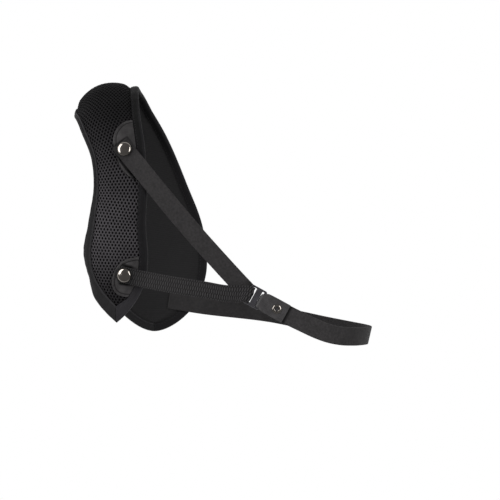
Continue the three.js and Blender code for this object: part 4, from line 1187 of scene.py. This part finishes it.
class ChestGuardSizes(bpy.types.PropertyGroup):
    """Sizes of the cloth's details."""

    net_pitch: length("Net pitch", "Distance between holes across the panel", 0.00375)
    net_row: length("Net row", "Distance between rows of holes", 0.00323)
    hole_width: length("Hole width", "Width of a hole across the panel", 0.0021)
    hole_length: length("Hole length", "Length of a hole along the panel", 0.00268)
    net_depth: length("Net depth", "Thickness of the net over the filling", 0.0009)
    rib_pitch: length("Rib pitch", "Distance between ribs of the lower strap", 0.0025)
    rib_lane: length("Rib lane", "Width of one lane of ribs", 0.0053)
    rib_height: length("Rib height", "Height of the ribs", 0.0006)
    stitch: length("Stitch", "Length of a stitch", 0.0026)
    stitch_pitch: length("Stitch pitch", "Distance from stitch to stitch", 0.0034)
    thread: length("Thread", "Thickness of the sewing thread", 0.00045)
    patch_border: length("Patch border", "Width of the turned edge of a patch", 0.0028)


class ChestGuardColours(bpy.types.PropertyGroup):
    """Colours of the finishes."""

    net: paint("Net", "Yarn of the open net", 0.092, 0.086, 0.093)
    # Near black: the filling's own dark colour, and painted shade in the net's holes and in the eyelet's
    # bore.
    padding: paint("Filling", "Dark filling under the net", 0.003, 0.0028, 0.0031)
    lining: paint("Lining", "Knit on the inner face", 0.021, 0.0205, 0.0212)
    neck_tape: paint("Neck side tape", "Tape on the neck side edge", 0.0152, 0.0143, 0.0163)
    arm_tape: paint("Arm side tape", "Tape on the arm side edge", 0.0255, 0.0244, 0.026)
    vinyl: paint("Patch vinyl", "Patches", 0.054, 0.051, 0.052)
    tab: paint("Tab vinyl", "Tab", 0.056, 0.053, 0.055)
    webbing: paint("Smooth webbing", "Upper strap", 0.0325, 0.03, 0.031)
    ribbed: paint("Ribbed webbing", "Lower strap", 0.036, 0.0333, 0.0351)
    elastic: paint("Elastic", "Elastic strap", 0.029, 0.027, 0.0278)
    ring: paint("Ring", "Moulded ring", 0.052, 0.05, 0.057)
    metal: paint("Metal", "Caps and eyelet", 0.42, 0.386, 0.352)
    thread: paint("Thread", "Stitching", 0.024, 0.023, 0.026)


class ChestGuardStage(bpy.types.PropertyGroup):
    """Camera, floor and light."""

    camera_away: number("Camera distance", "From the shoulder seat back to the camera", 2.0, "DISTANCE")
    camera_side: number("Camera side", "Camera to the right of the shoulder seat", 0.1532, "DISTANCE")
    camera_drop: number("Camera drop", "Camera below the shoulder seat", 0.1648, "DISTANCE")
    lens: number("Lens", "Focal length in millimetres", 129.73, "DISTANCE_CAMERA")
    floor_drop: number("Floor drop", "Floor below the shoulder seat", 1.3, "DISTANCE")
    sky: number("Sky", "Light of the room behind the camera", 0.12, min=0, max=1)
    wall: number("Wall", "Light of the wall facing the camera", 0.9, min=0, max=1)
    key: number("Left light", "Power of the left softbox", 38.0, "POWER", min=0)
    fill: number("Right light", "Power of the right softbox", 20.0, "POWER", min=0)


def chosen(context):
    """The sizes and colours in use."""
    return context.scene.chest_guard_sizes, context.scene.chest_guard_colours


class ChestGuardMakeStage(bpy.types.Operator):
    """Set up the camera, the pale floor and the soft light"""

    bl_idname = "chest_guard.stage"
    bl_label = "Stage"

    def camera(self, scene, stage):
        """A level camera straight behind."""
        data = bpy.data.cameras.new("camera")
        data.lens, data.sensor_width = stage.lens, SENSOR
        data.clip_start, data.clip_end = NEAREST, FARTHEST
        camera = put("camera", data)
        camera.location = (stage.camera_side, -stage.camera_away, -stage.camera_drop)
        camera.rotation_euler = (math.pi / 2, 0, 0)
        scene.camera = camera
        scene.view_settings.view_transform = "Standard"

    def surroundings(self, scene, stage):
        """White where the camera sees them; they light the guard from the wall more than from the room."""
        scene.world = bpy.data.worlds.new("white surroundings")
        scene.world.use_nodes = True
        tree = scene.world.node_tree
        sky = tree.nodes["Background"].inputs
        sky["Color"].default_value = (1, 1, 1, 1)
        seen = Wire.add(tree, "ShaderNodeLightPath", {}, {}, "Is Camera Ray")
        facing = Wire.add(tree, "ShaderNodeTexCoord", {}, {}, "Generated").parts()[1]
        light = facing.ranged(-0.4, 0.6, stage.sky, stage.wall)
        tree.links.new((light + (1 - light) * seen).socket, sky["Strength"])

    def softboxes(self, stage):
        for name, (power, width, height, place) in SOFTBOXES.items():
            light = bpy.data.lights.new(name, "AREA")
            light.energy, light.shape = getattr(stage, power), "RECTANGLE"
            light.size, light.size_y = width, height
            lamp = put(name, light)
            lamp.location = place
            lamp.rotation_euler = (GUARD_MIDDLE - Vector(place)).to_track_quat("-Z", "Y").to_euler()

    def floor(self, stage):
        """A pale floor that fades out far away and that polished metal doesn't mirror."""
        steps = np.linspace(-FLOOR_HALF, FLOOR_HALF, FLOOR_POINTS)
        x, y = np.meshgrid(steps, steps, indexing="ij")
        points = np.stack([x, y, np.full(x.shape, -stage.floor_drop / MM)], -1)
        look = Look("pale_floor", (FLOOR_GREY, FLOOR_GREY, FLOOR_GREY), 0.7, 0.2)
        look.link("Roughness", 0.6 + 0.2 * look.noise(30.0))
        x, y, _ = look.place.parts()
        look.link("Alpha", (x * x + y * y).ranged(FLOOR_FULL**2, FLOOR_GONE**2, 1.0, 0.0))
        floor = new_piece("floor", points, grid_faces(*points.shape[:2]), finishes=[look.material])
        floor.visible_glossy = False

    def execute(self, context):
        stage = context.scene.chest_guard_stage
        self.camera(context.scene, stage)
        self.surroundings(context.scene, stage)
        self.softboxes(stage)
        self.floor(stage)
        return {"FINISHED"}


class ChestGuardMakePadding(bpy.types.Operator):
    """Make the padded core with its knitted inner face"""

    bl_idname = "chest_guard.padding"
    bl_label = "Padding"

    def execute(self, context):
        sizes, colours = chosen(context)
        inset = TAPE_WALL + TAPE_GAP
        neck_outer, neck_line = STATIONS["neck"]
        arm_outer, arm_line = STATIONS["arm"]
        arm_inset = (inset / panel["tape"](arm_outer[:, 0]))[:, None]
        shares = (1 - np.cos(np.pi * np.arange(1, PADDING_COLUMNS) / PADDING_COLUMNS)) / 2
        flats = [arm_outer + (arm_line - arm_outer) * arm_inset, (arm_outer + arm_line) / 2, arm_line]
        flats += [arm_line + (neck_line - arm_line) * f for f in shares]
        flats += [neck_line, (neck_outer + neck_line) / 2]
        flats.append(neck_outer + (neck_line - neck_outer) * inset / NECK_TAPE)
        flat = np.stack(flats, 1)
        from_tape = nearer(flat, arm_line, neck_line)
        from_tape[:, :3] = from_tape[:, -3:] = 0
        along, across = flat[..., 0], flat[..., 1]
        soft = undulation(along, across, from_tape)
        sunk = sizes.net_depth / MM
        outer, _ = on_panel(along, across, panel_half(along, from_tape, True) - sunk + soft)
        inner, _ = on_panel(along, across, -panel_half(along, from_tape, False) + soft)
        points, faces, finish_of = slab(outer, inner)
        weave = np.tile(flat[..., ::-1].reshape(-1, 2), (2, 1))
        finishes = [padding_core(colours), lining_knit(colours)]
        piece = new_piece("panel_padding", points, faces, weave, finishes, finish_of)
        settle(close_up(piece, PANEL_MERGE), "mesh", "mesh_panel")
        return {"FINISHED"}


class ChestGuardMakeNet(bpy.types.Operator):
    """Lay the open net over the outer face of the panel"""

    bl_idname = "chest_guard.net"
    bl_label = "Net"

    def cell(self, sizes):
        """One cell of the net in the flat: half the yarn round a hole, out to the middle of the yarn."""
        pitch, row = sizes.net_pitch / MM, sizes.net_row / MM
        step = row * row + pitch * pitch / 4
        shoulder = (step / 2 - pitch * pitch / 4) / row
        corners = [(0, step / 2 / row), (pitch / 2, shoulder), (pitch / 2, -shoulder)]
        corners = np.array(corners + [(-x, -y) for x, y in corners])
        rim = np.stack([corners, (corners + np.roll(corners, -1, 0)) / 2], 1).reshape(-1, 2)
        angle = np.arctan2(rim[:, 0], rim[:, 1])
        half_width, half_length = sizes.hole_width / 2 / MM, sizes.hole_length / 2 / MM
        hole = np.stack([np.sin(angle) * half_width, np.cos(angle) * half_length], 1)
        crest = np.tile(YARN_CREST, 2)
        rings = []
        for share, high in (*YARN_ROWS, (YARN_FOOT, -sizes.net_depth / MM - YARN_FOOT_DEPTH)):
            flat = rim + (hole - rim) * share
            rings.append(np.stack([flat[:, 1], flat[:, 0], high + crest * max(0, 1 - share)], 1))
        return new_piece("net_cell", rings, grid_faces(len(rings), len(rim), True)[:, ::-1])

    def ground(self, first, last):
        """The outer face of the panel with its flat pattern, a little way under the tapes."""
        neck_line, arm_line = STATIONS["neck"][1], STATIONS["arm"][1]
        way = neck_line - arm_line
        width = np.linalg.norm(way, axis=1, keepdims=True)
        way = way / np.maximum(width, 1e-6)
        along = arm_line[:, 0]
        keep = (width[:, 0] > NET_NARROWEST) & (along > first - NET_SPARE) & (along < last + NET_SPARE)
        start, end = (arm_line - way * NET_TUCK)[keep], (neck_line + way * NET_TUCK)[keep]
        flat = start[:, None] + (end - start)[:, None] * np.linspace(0, 1, GROUND_COLUMNS)[None, :, None]
        from_tape = np.maximum(0, nearer(flat, start, end) - NET_TUCK)
        along, across = flat[..., 0], flat[..., 1]
        soft = undulation(along, across, from_tape)
        points, normals = on_panel(along, across, panel_half(along, from_tape, True) + soft)
        base = new_piece("net_ground", points, grid_faces(*along.shape))
        pattern = np.stack([along * MM, across * MM + NET_MIDDLE, np.zeros(along.shape)], -1)
        store_vectors(base.data, "flat", pattern)
        store_vectors(base.data, "out", normals)
        return base

    def execute(self, context):
        sizes, colours = chosen(context)
        cell = self.cell(sizes)
        tree = net_tree()
        row = sizes.net_row / MM
        for name, (first, last) in NET_PARTS.items():
            start, end = round(first / row), round(last / row)
            values = {
                "Cell": cell,
                "Pitch": sizes.net_pitch,
                "Row Pitch": sizes.net_row,
                "First Row": start,
                "Rows": end - start,
                "Columns": NET_COLUMNS,
                "Middle": NET_MIDDLE,
                "Finish": net_yarn(colours),
            }
            settle(grow(name, self.ground(first, last), tree, values), "mesh", "mesh_panel")
        bpy.data.objects.remove(cell)
        return {"FINISHED"}


class ChestGuardMakeTapes(bpy.types.Operator):
    """Fold the tapes over both edges"""

    bl_idname = "chest_guard.tapes"
    bl_label = "Edge tapes"

    def execute(self, context):
        _, colours = chosen(context)
        section = [*TAPE_LIP, *((s, d, -h) for s, d, h in TAPE_LIP[-2::-1])]
        section += [(1.0, 0.0, -TAPE_INNER), (0.5, 0.0, -TAPE_INNER), (0.0, TAPE_WALL, -TAPE_INNER)]
        section += [(0.0, TAPE_WALL, TAPE_INNER), (0.5, 0.0, TAPE_INNER), (1.0, 0.0, TAPE_INNER)]
        share, shift, high = np.array(section).T
        for side, sign in (("neck", 1), ("arm", -1)):
            outer, line = STATIONS[side]
            width = np.linalg.norm(line - outer, axis=1)
            walked = running(outer)
            f = np.clip(share[None] + shift[None] / width[:, None], 0, 1.0)
            flat = outer[:, None] + (line - outer)[:, None] * f[..., None]
            flat[0, :, 1] = flat[-1, :, 1] = sign * GAP / 2
            drift = 2 * np.sin(walked / TAPE_PUCKER_DRIFT)
            pucker = 1 + TAPE_PUCKER * np.sin(walked / TAPE_PUCKER_PITCH + drift)[:, None]
            raised = high[None] * np.where(abs(high) > TAPE_INNER, pucker, 1)
            points, _ = on_panel(flat[..., 0], flat[..., 1], raised)
            weave = cloth_places(round_section(share, high, NECK_TAPE), walked)
            faces = tube_faces(len(outer), len(section))
            piece = new_piece(f"{side}_side_tape", points, faces, weave, [tape_cloth(side, colours)])
            settle(close_up(piece), "binding_tape", f"{side}_side_binding")
        return {"FINISHED"}


def patch_flat(patch, rows, columns):
    """A D in the flat: rows from its lower to its upper end, columns from the tape outwards."""
    f = (1 - np.cos(np.pi * np.linspace(0, 1, rows))) / 2
    fullest = patch["fullest"]
    g = np.where(f < fullest, f / fullest - 1, (f - fullest) / (1 - fullest))
    depth = patch["bulge"] * np.maximum(PATCH_END, np.sqrt(np.maximum(0, 1 - g * g)))
    along = patch["from"] + (patch["to"] - patch["from"]) * f
    across = line_across("neck", along)[:, None] - GAP - depth[:, None] * np.linspace(0, 1, columns)[None]
    return np.repeat(along[:, None], columns, 1), across


def patch_edge(patch):
    """The round edge of a patch in the flat, from end to end."""
    (first, *_, last), edge = np.stack(patch_flat(patch, PATCH_EDGE_POINTS, 2), -1).transpose(1, 0, 2)
    return np.vstack([first, edge, last])


def from_line(here, line):
    """Distance of points from a line of points."""
    found = np.full(here.shape[:-1], np.inf)
    for a, b in zip(line[:-1], line[1:]):
        way = b - a
        t = np.clip(((here - a) @ way) / max(way @ way, 1e-9), 0, 1)
        found = np.minimum(found, np.linalg.norm(here - (a + t[..., None] * way), axis=-1))
    return found


def strap_end_line(way, first):
    """The outline of a strap's end: down one edge, across the end and up the other edge."""
    t = np.linspace(first, first + STRAP_SHADE_RUN, STRAP_SHADE_POINTS)
    sides = [way.at(t, np.full(t.shape, share), np.zeros(t.shape)) for share in (-1.0, 1.0)]
    return np.concatenate([sides[0][::-1], sides[1]])


class ChestGuardMakePatches(bpy.types.Operator):
    """Make the two vinyl patches with their turned edges"""

    bl_idname = "chest_guard.patches"
    bl_label = "Patches"

    def relief(self, away, border):
        """Raised turned edge, groove beside it and rounded rim, by the distance from the round edge."""
        edge = TURNED_RISE * ease(1 - (away - border) / TURNED_STEP) * (away < border + TURNED_STEP)
        groove = bump_at(away, -GROOVE_DEPTH, border + GROOVE_FROM_BORDER, GROOVE_REACH)
        inside = np.clip(away / PATCH_ROUND, 0, 1)
        rounded = -PATCH_ROUND_DROP * (1 - np.sqrt(inside * (2 - inside)))
        return edge, groove, rounded

    def execute(self, context):
        sizes, colours = chosen(context)
        straps = {"upper_patch": upper_strap_way(), "lower_patch": lower_strap_way()}
        for node, patch in PATCHES.items():
            along, across = patch_flat(patch, PATCH_ROWS, PATCH_COLUMNS)
            away = from_line(np.stack([along, across], -1), patch_edge(patch))
            edge, groove, rounded = self.relief(away, sizes.patch_border / MM)
            seat = panel_outer(along, across) + PATCH_GAP
            top, _ = on_panel(along, across, seat + PATCH_WALL + edge + groove + rounded)
            bottom, _ = on_panel(along, across, seat)
            points, faces, _ = slab(top, bottom)
            from_strap = from_line(top, strap_end_line(straps[node], STRAP_SHADE_FROM[node]))
            weave = np.tile(np.stack([away, from_strap], -1).reshape(-1, 2), (2, 1))
            piece = new_piece(f"{node}_vinyl", points, faces, weave, [patch_vinyl(colours)])
            settle(close_up(piece), "vinyl", node)
        return {"FINISHED"}


class ChestGuardMakeSnaps(bpy.types.Operator):
    """Turn the two polished caps with their posts"""

    bl_idname = "chest_guard.snaps"
    bl_label = "Snap caps"

    def profile(self, foot, base):
        """Radius and height from the foot up the post and over the cap."""
        rows = [
            (0, foot - FOOT_HEIGHT),
            (FOOT_RADIUS - 0.9, foot - FOOT_HEIGHT),
            (FOOT_RADIUS - 0.2, foot - FOOT_HEIGHT + 0.3),
            (FOOT_RADIUS, foot - 0.35),
            (FOOT_RADIUS - 0.1, foot),
            (POST_RADIUS, foot),
            (POST_RADIUS, base),
            (CAP_RADIUS - 0.35, base),
            (CAP_RADIUS - 0.08, base + 0.12),
            (CAP_RADIUS, base + 0.4),
            (CAP_RADIUS - CAP_RIM_IN, base + CAP_RIM),
        ]
        for k in range(1, DOME_STEPS + 1):
            share = (1 - k / DOME_STEPS) ** 0.5
            # A broad flat top that turns down steeply, mixed with a plain round dome.
            dome = 0.58 * (1 - share**7) ** 0.6 + 0.42 * (1 - share**2)
            height = base + CAP_RIM + (CAP_HEIGHT - CAP_RIM) * dome
            rows.append(((CAP_RADIUS - CAP_RIM_IN) * share, height))
        return rows

    def execute(self, context):
        _, colours = chosen(context)
        for node, (along, _) in SNAPS.items():
            seat = cap_seat(node)
            foot = -(seat["height"] + float(panel_half(along, PANEL_SWELL, False)) + FOOT_GAP)
            profile = self.profile(foot, WEBBING / 2 + GAP)
            finishes = [polished_nickel(colours)]
            piece = turned(f"{node}_cap", profile, seat["point"], seat["normal"], CAP_SEGMENTS, finishes)
            settle(piece, "cap_metal", node)
        return {"FINISHED"}


class ChestGuardMakeUpperStrap(bpy.types.Operator):
    """Weave the smooth upper strap"""

    bl_idname = "chest_guard.upper_strap"
    bl_label = "Upper strap"

    def execute(self, context):
        _, colours = chosen(context)
        way = upper_strap_way()
        onward = way.way(way.length)

        def tucked(t, share):
            """The upper corner of its end goes in behind the ring."""
            near_end = ease((t - way.length + UPPER_CORNER_RUN) / UPPER_CORNER_RUN)
            corner = near_end * part_of(share, *UPPER_PART)
            return corner[..., None] * (UPPER_CORNER_ON * onward - UPPER_CORNER_IN * OUT)

        cloth = twill_webbing(colours)
        piece = strap("upper_strap_webbing", way, cloth, step=1.6, wander=0.05, mould=tucked)
        settle(piece, "smooth_webbing", "upper_strap")
        return {"FINISHED"}


class ChestGuardMakeLowerStrap(bpy.types.Operator):
    """Weave the ribbed lower strap round the ring's bar"""

    bl_idname = "chest_guard.lower_strap"
    bl_label = "Lower strap"

    def mark_cloth(self, mesh, first, last):
        """Stores each point's place on the cloth and its share of the ribs: low on the bar, none on rims."""
        loops, uv = np.zeros(len(mesh.loops), np.int32), np.zeros(len(mesh.loops) * 2, np.float32)
        mesh.loops.foreach_get("vertex_index", loops)
        mesh.uv_layers["weave"].data.foreach_get("uv", uv)
        cloth = np.zeros((len(mesh.vertices), 3), np.float32)
        cloth[loops, :2] = uv.reshape(-1, 2)
        on_back = cloth[:, 0] - cloth[:, 0].max() / 2
        cloth[:, 2] = (cloth[:, 0] < LOWER_STRAP_WIDTH * MM) | (on_back > 0)
        on_bar = (cloth[:, 1] > (first + RIB_BAR_IN) * MM) & (cloth[:, 1] < (last - RIB_BAR_IN) * MM)
        cloth[on_bar, 2] *= RIB_ROUND_BAR
        store_vectors(mesh, "cloth", cloth)

    def execute(self, context):
        sizes, colours = chosen(context)
        way = lower_strap_way()
        first, last = way.knots[-LOOP_STEPS - 3], way.knots[-3]

        def slack(t, share):
            """The loop is slack on its bar but for its upper end, and the webbing spreads before it."""
            above, below = part_of(share, *UPPER_PART), part_of(-share, *LOWER_PART)
            loose = SLACK - SLACK_LESS_ABOVE * above - SLACK_LESS_BELOW * below
            spread = sum(far * ease((first + start - t) / SPREAD_EASE) for far, start in SPREADS)
            spread = spread * ease((t - first + SPREAD_START) / SPREAD_GROWS) * np.maximum(0, -share)
            return (crest_between(t, first, last) * loose)[..., None] * PULL - spread[..., None] * BAR

        cloth = rib_weave(colours)
        base = strap("lower_strap_base", way, cloth, columns=40, step=0.4, wander=0.04, mould=slack)
        self.mark_cloth(base.data, first, last)
        values = {
            "Pitch": sizes.rib_pitch,
            "Lane": sizes.rib_lane,
            "Border": (LOWER_STRAP_WIDTH * MM - RIB_LANES * sizes.rib_lane) / 2,
            "Height": sizes.rib_height,
            "Finish": cloth,
        }
        settle(grow("lower_strap_webbing", base, rib_tree(), values), "ribbed_webbing", "lower_strap")
        return {"FINISHED"}


class ChestGuardMakeElastic(bpy.types.Operator):
    """Weave the elastic that runs round to the chest half"""

    bl_idname = "chest_guard.elastic"
    bl_label = "Elastic"

    def execute(self, context):
        _, colours = chosen(context)
        piece = strap("elastic_webbing", elastic_way(), woven_elastic(colours), wander=0.03)
        settle(piece, "elastic", "elastic_strap")
        return {"FINISHED"}


class ChestGuardMakeRing(bpy.types.Operator):
    """Mould the ring with its three bars"""

    bl_idname = "chest_guard.ring"
    bl_label = "Ring"

    def outline(self, data, x0, y0, x1, y1, r):
        """One rounded rectangle as a closed spline."""
        corners = ((x1 - r, y0 + r, -90), (x1 - r, y1 - r, 0), (x0 + r, y1 - r, 90), (x0 + r, y0 + r, 180))
        points = []
        for x, y, first in corners:
            for k in range(RING_CORNER_STEPS + 1):
                angle = math.radians(first + 90 * k / RING_CORNER_STEPS)
                points.append((x + r * math.cos(angle), y + r * math.sin(angle)))
        spline = data.splines.new("POLY")
        spline.points.add(len(points) - 1)
        for point, (x, y) in zip(spline.points, points):
            point.co = (x * MM, y * MM, 0, 1)
        spline.use_cyclic_u = True

    def execute(self, context):
        _, colours = chosen(context)
        data = bpy.data.curves.new("ring_outline", "CURVE")
        data.dimensions, data.fill_mode = "2D", "BOTH"
        half, bar = RING_WIDTH / 2, RING_BAR / 2
        self.outline(data, RING_FIRST - bar, -half, RING_SECOND + bar, half, RING_CORNER)
        for first, last in ((RING_FIRST + bar, RING_MIDDLE[0]), (RING_MIDDLE[1], RING_SECOND - bar)):
            self.outline(data, first, RING_RAIL - half, last, half - RING_RAIL, RING_ROUND)
        data.bevel_depth, data.offset = RING_ROUND * MM, -RING_ROUND * MM
        data.bevel_resolution = RING_BEVEL_STEPS
        data.extrude = (bar - RING_ROUND) * MM
        mesh = made_mesh("moulded_ring", put("ring_base", data))
        place = np.eye(4)
        place[:3] = np.stack([PULL, BAR, OUT, RING_AT * MM], 1)
        mesh.transform(Matrix(place.tolist()))
        mesh.materials.clear()
        mesh.materials.append(gloss_plastic(colours))
        mesh.shade_smooth()
        settle(close_up(put("moulded_ring", mesh)), "ring_plastic", "strap_ring")
        return {"FINISHED"}


class ChestGuardMakeTab(bpy.types.Operator):
    """Fold the vinyl tab round the ring's last bar"""

    bl_idname = "chest_guard.tab"
    bl_label = "Tab"

    def execute(self, context):
        _, colours = chosen(context)
        way = tab_way()
        first, last = way.knots[4], way.knots[4 + LOOP_STEPS]

        def relief(t, share):
            """A ridge and a crease beside the fold, and a pressed line along each edge."""
            folded = first - t
            crease = bump_at(folded, *TAB_RIDGE) + bump_at(folded + TAB_CREASE_SLANT * share, *TAB_CREASE)
            pressed_line_and_painted_shade = bump_at((1 - abs(share)) * TAB_WIDTH / 2, *TAB_PRESSED)
            return crease + pressed_line_and_painted_shade * ease(folded / TAB_PRESSED_RUN)

        def filling(t, share):
            """The fold fills its slot but for the upper corner."""
            crest = crest_between(t, first - TAB_BEYOND_FOLD, last + TAB_BEYOND_FOLD)
            corner = part_of(-share, *TAB_CORNER)
            off, down = TAB_OFF_BAR * crest * (1 - corner), TAB_CORNER_DOWN * crest * corner
            return -off[..., None] * PULL - down[..., None] * BAR

        cut = {"thickness": TAB_WALL, "columns": 36, "step": 0.5, "wander": 0.02}
        piece = strap("ring_tab_vinyl", way, tab_vinyl(colours), **cut, relief=relief, mould=filling)
        settle(piece, "vinyl", "ring_tab")
        return {"FINISHED"}


class ChestGuardMakeEyelet(bpy.types.Operator):
    """Turn the eyelet that closes the tab on the elastic"""

    bl_idname = "chest_guard.eyelet"
    bl_label = "Eyelet"

    def execute(self, context):
        _, colours = chosen(context)
        seat = TAB_GRIP + TAB_WALL / 2 + GAP
        bright = [
            (0, -seat - EYELET_LIP),
            (EYELET_RADIUS - 0.9, -seat - EYELET_LIP),
            (EYELET_RADIUS - 0.2, -seat - EYELET_LIP * 0.7),
            (EYELET_RADIUS, -seat - 0.2),
            (EYELET_RADIUS - 0.1, -seat),
            (EYELET_TUBE, -seat),
            (EYELET_TUBE, seat),
            (EYELET_RADIUS - 0.1, seat),
        ]
        wide, high = EYELET_RADIUS - EYELET_CREST, EYELET_LIP - EYELET_LIP_START
        for k in range(EYELET_STEPS + 1):
            angle = math.pi / 2 * k / EYELET_STEPS
            height = seat + EYELET_LIP_START + high * math.sin(angle)
            bright.append((EYELET_CREST + wide * math.cos(angle), height))
        recess = [
            (EYELET_BORE + 0.2, seat + EYELET_LIP * 0.7),
            (EYELET_BORE, EYELET_FLOOR + 0.6),
            (EYELET_BORE, EYELET_FLOOR),
            (0.55, EYELET_FLOOR),
        ]
        dot = [(0.5, EYELET_FLOOR + 0.25), (0.3, EYELET_FLOOR + 0.4), (0, EYELET_FLOOR + 0.42)]
        # The bore and floor take the near-black finish: painted shade inside the eyelet.
        finish_of = [0] * len(bright) + [1] * len(recess) + [0] * (len(dot) - 1)
        finishes = [polished_nickel(colours), dark_recess(colours)]
        at, profile = in_ring(TAB_END - EYELET_FROM_END, 0), bright + recess + dot
        piece = turned("tab_eyelet_ring", profile, at, OUT, EYELET_SEGMENTS, finishes, finish_of)
        settle(piece, "eyelet_metal", "tab_eyelet")
        return {"FINISHED"}


class ChestGuardMakeStitches(bpy.types.Operator):
    """Sew the tapes and the patches"""

    bl_idname = "chest_guard.stitches"
    bl_label = "Stitches"

    def tape_seams(self):
        """A seam beside the inner line of each tape, on both faces."""
        for outer, line in STATIONS.values():
            width = np.linalg.norm(line - outer, axis=1)
            f = (1 - STITCH_IN / np.maximum(width, NARROWEST_TAPE))[:, None]
            flat = (outer + (line - outer) * f)[TAPE_UNSEWN:-1]
            for face in (1, -1):
                points, normals = on_panel(flat[:, 0], flat[:, 1], face * (TAPE_OUTER - STITCH_SINK))
                yield points, normals * face

    def patch_seams(self, border):
        """A seam along the turned edge of each patch."""
        for patch in PATCHES.values():
            edge = patch_edge(patch)[1:-1]
            way = unit(np.gradient(edge, axis=0))
            inward = np.stack([-way[:, 1], way[:, 0]], 1)
            middle = edge.mean(0) + (0, PATCH_INSIDE)
            inward *= np.sign(((middle - edge) * inward).sum(1))[:, None]
            flat = (edge + inward * (border * PATCH_SEAM_SHARE))[PATCH_UNSEWN:-PATCH_UNSEWN]
            raised = panel_outer(flat[:, 0], flat[:, 1]) + PATCH_GAP + PATCH_WALL + PATCH_SEAM_RISE
            yield on_panel(flat[:, 0], flat[:, 1], raised)

    def execute(self, context):
        sizes, colours = chosen(context)
        tree = stitch_tree()
        values = {
            "Length": sizes.stitch,
            "Pitch": sizes.stitch_pitch,
            "Thread": sizes.thread,
            "Finish": sewing_thread(colours),
        }
        groups = {
            "tape_stitches": (self.tape_seams(), "binding_tape"),
            "patch_stitches": (self.patch_seams(sizes.patch_border / MM), "vinyl"),
        }
        for name, (seams, slot) in groups.items():
            settle(grow(name, seam_object(f"{name}_seams", list(seams)), tree, values), slot)
        return {"FINISHED"}


MAKERS = (
    ChestGuardMakeStage,
    ChestGuardMakePadding,
    ChestGuardMakeNet,
    ChestGuardMakeTapes,
    ChestGuardMakePatches,
    ChestGuardMakeSnaps,
    ChestGuardMakeUpperStrap,
    ChestGuardMakeLowerStrap,
    ChestGuardMakeElastic,
    ChestGuardMakeRing,
    ChestGuardMakeTab,
    ChestGuardMakeEyelet,
    ChestGuardMakeStitches,
)
GROUPS = {
    "chest_guard_sizes": ChestGuardSizes,
    "chest_guard_colours": ChestGuardColours,
    "chest_guard_stage": ChestGuardStage,
}


class ChestGuardPanel(bpy.types.Panel):
    """Lists the makers and the values they use"""

    bl_idname = "VIEW3D_PT_chest_guard"
    bl_label = "Chest guard"
    bl_space_type = "VIEW_3D"
    bl_region_type = "UI"
    bl_category = "Chest guard"

    def draw(self, context):
        for maker in MAKERS:
            self.layout.operator(maker.bl_idname)
        for group in GROUPS:
            box = self.layout.box()
            values = getattr(context.scene, group)
            for name in values.bl_rna.properties.keys():
                if name not in ("rna_type", "name"):
                    box.prop(values, name)


CLASSES = (*GROUPS.values(), *MAKERS, ChestGuardPanel)


def register():
    for item in CLASSES:
        bpy.utils.register_class(item)
    for name, group in GROUPS.items():
        setattr(bpy.types.Scene, name, PointerProperty(type=group))


def unregister():
    for name in GROUPS:
        delattr(bpy.types.Scene, name)
    for item in reversed(CLASSES):
        bpy.utils.unregister_class(item)


def main():
    register()
    for maker in MAKERS:
        family, name = maker.bl_idname.split(".")
        getattr(getattr(bpy.ops, family), name)()


if __name__ == "__main__":
    main()
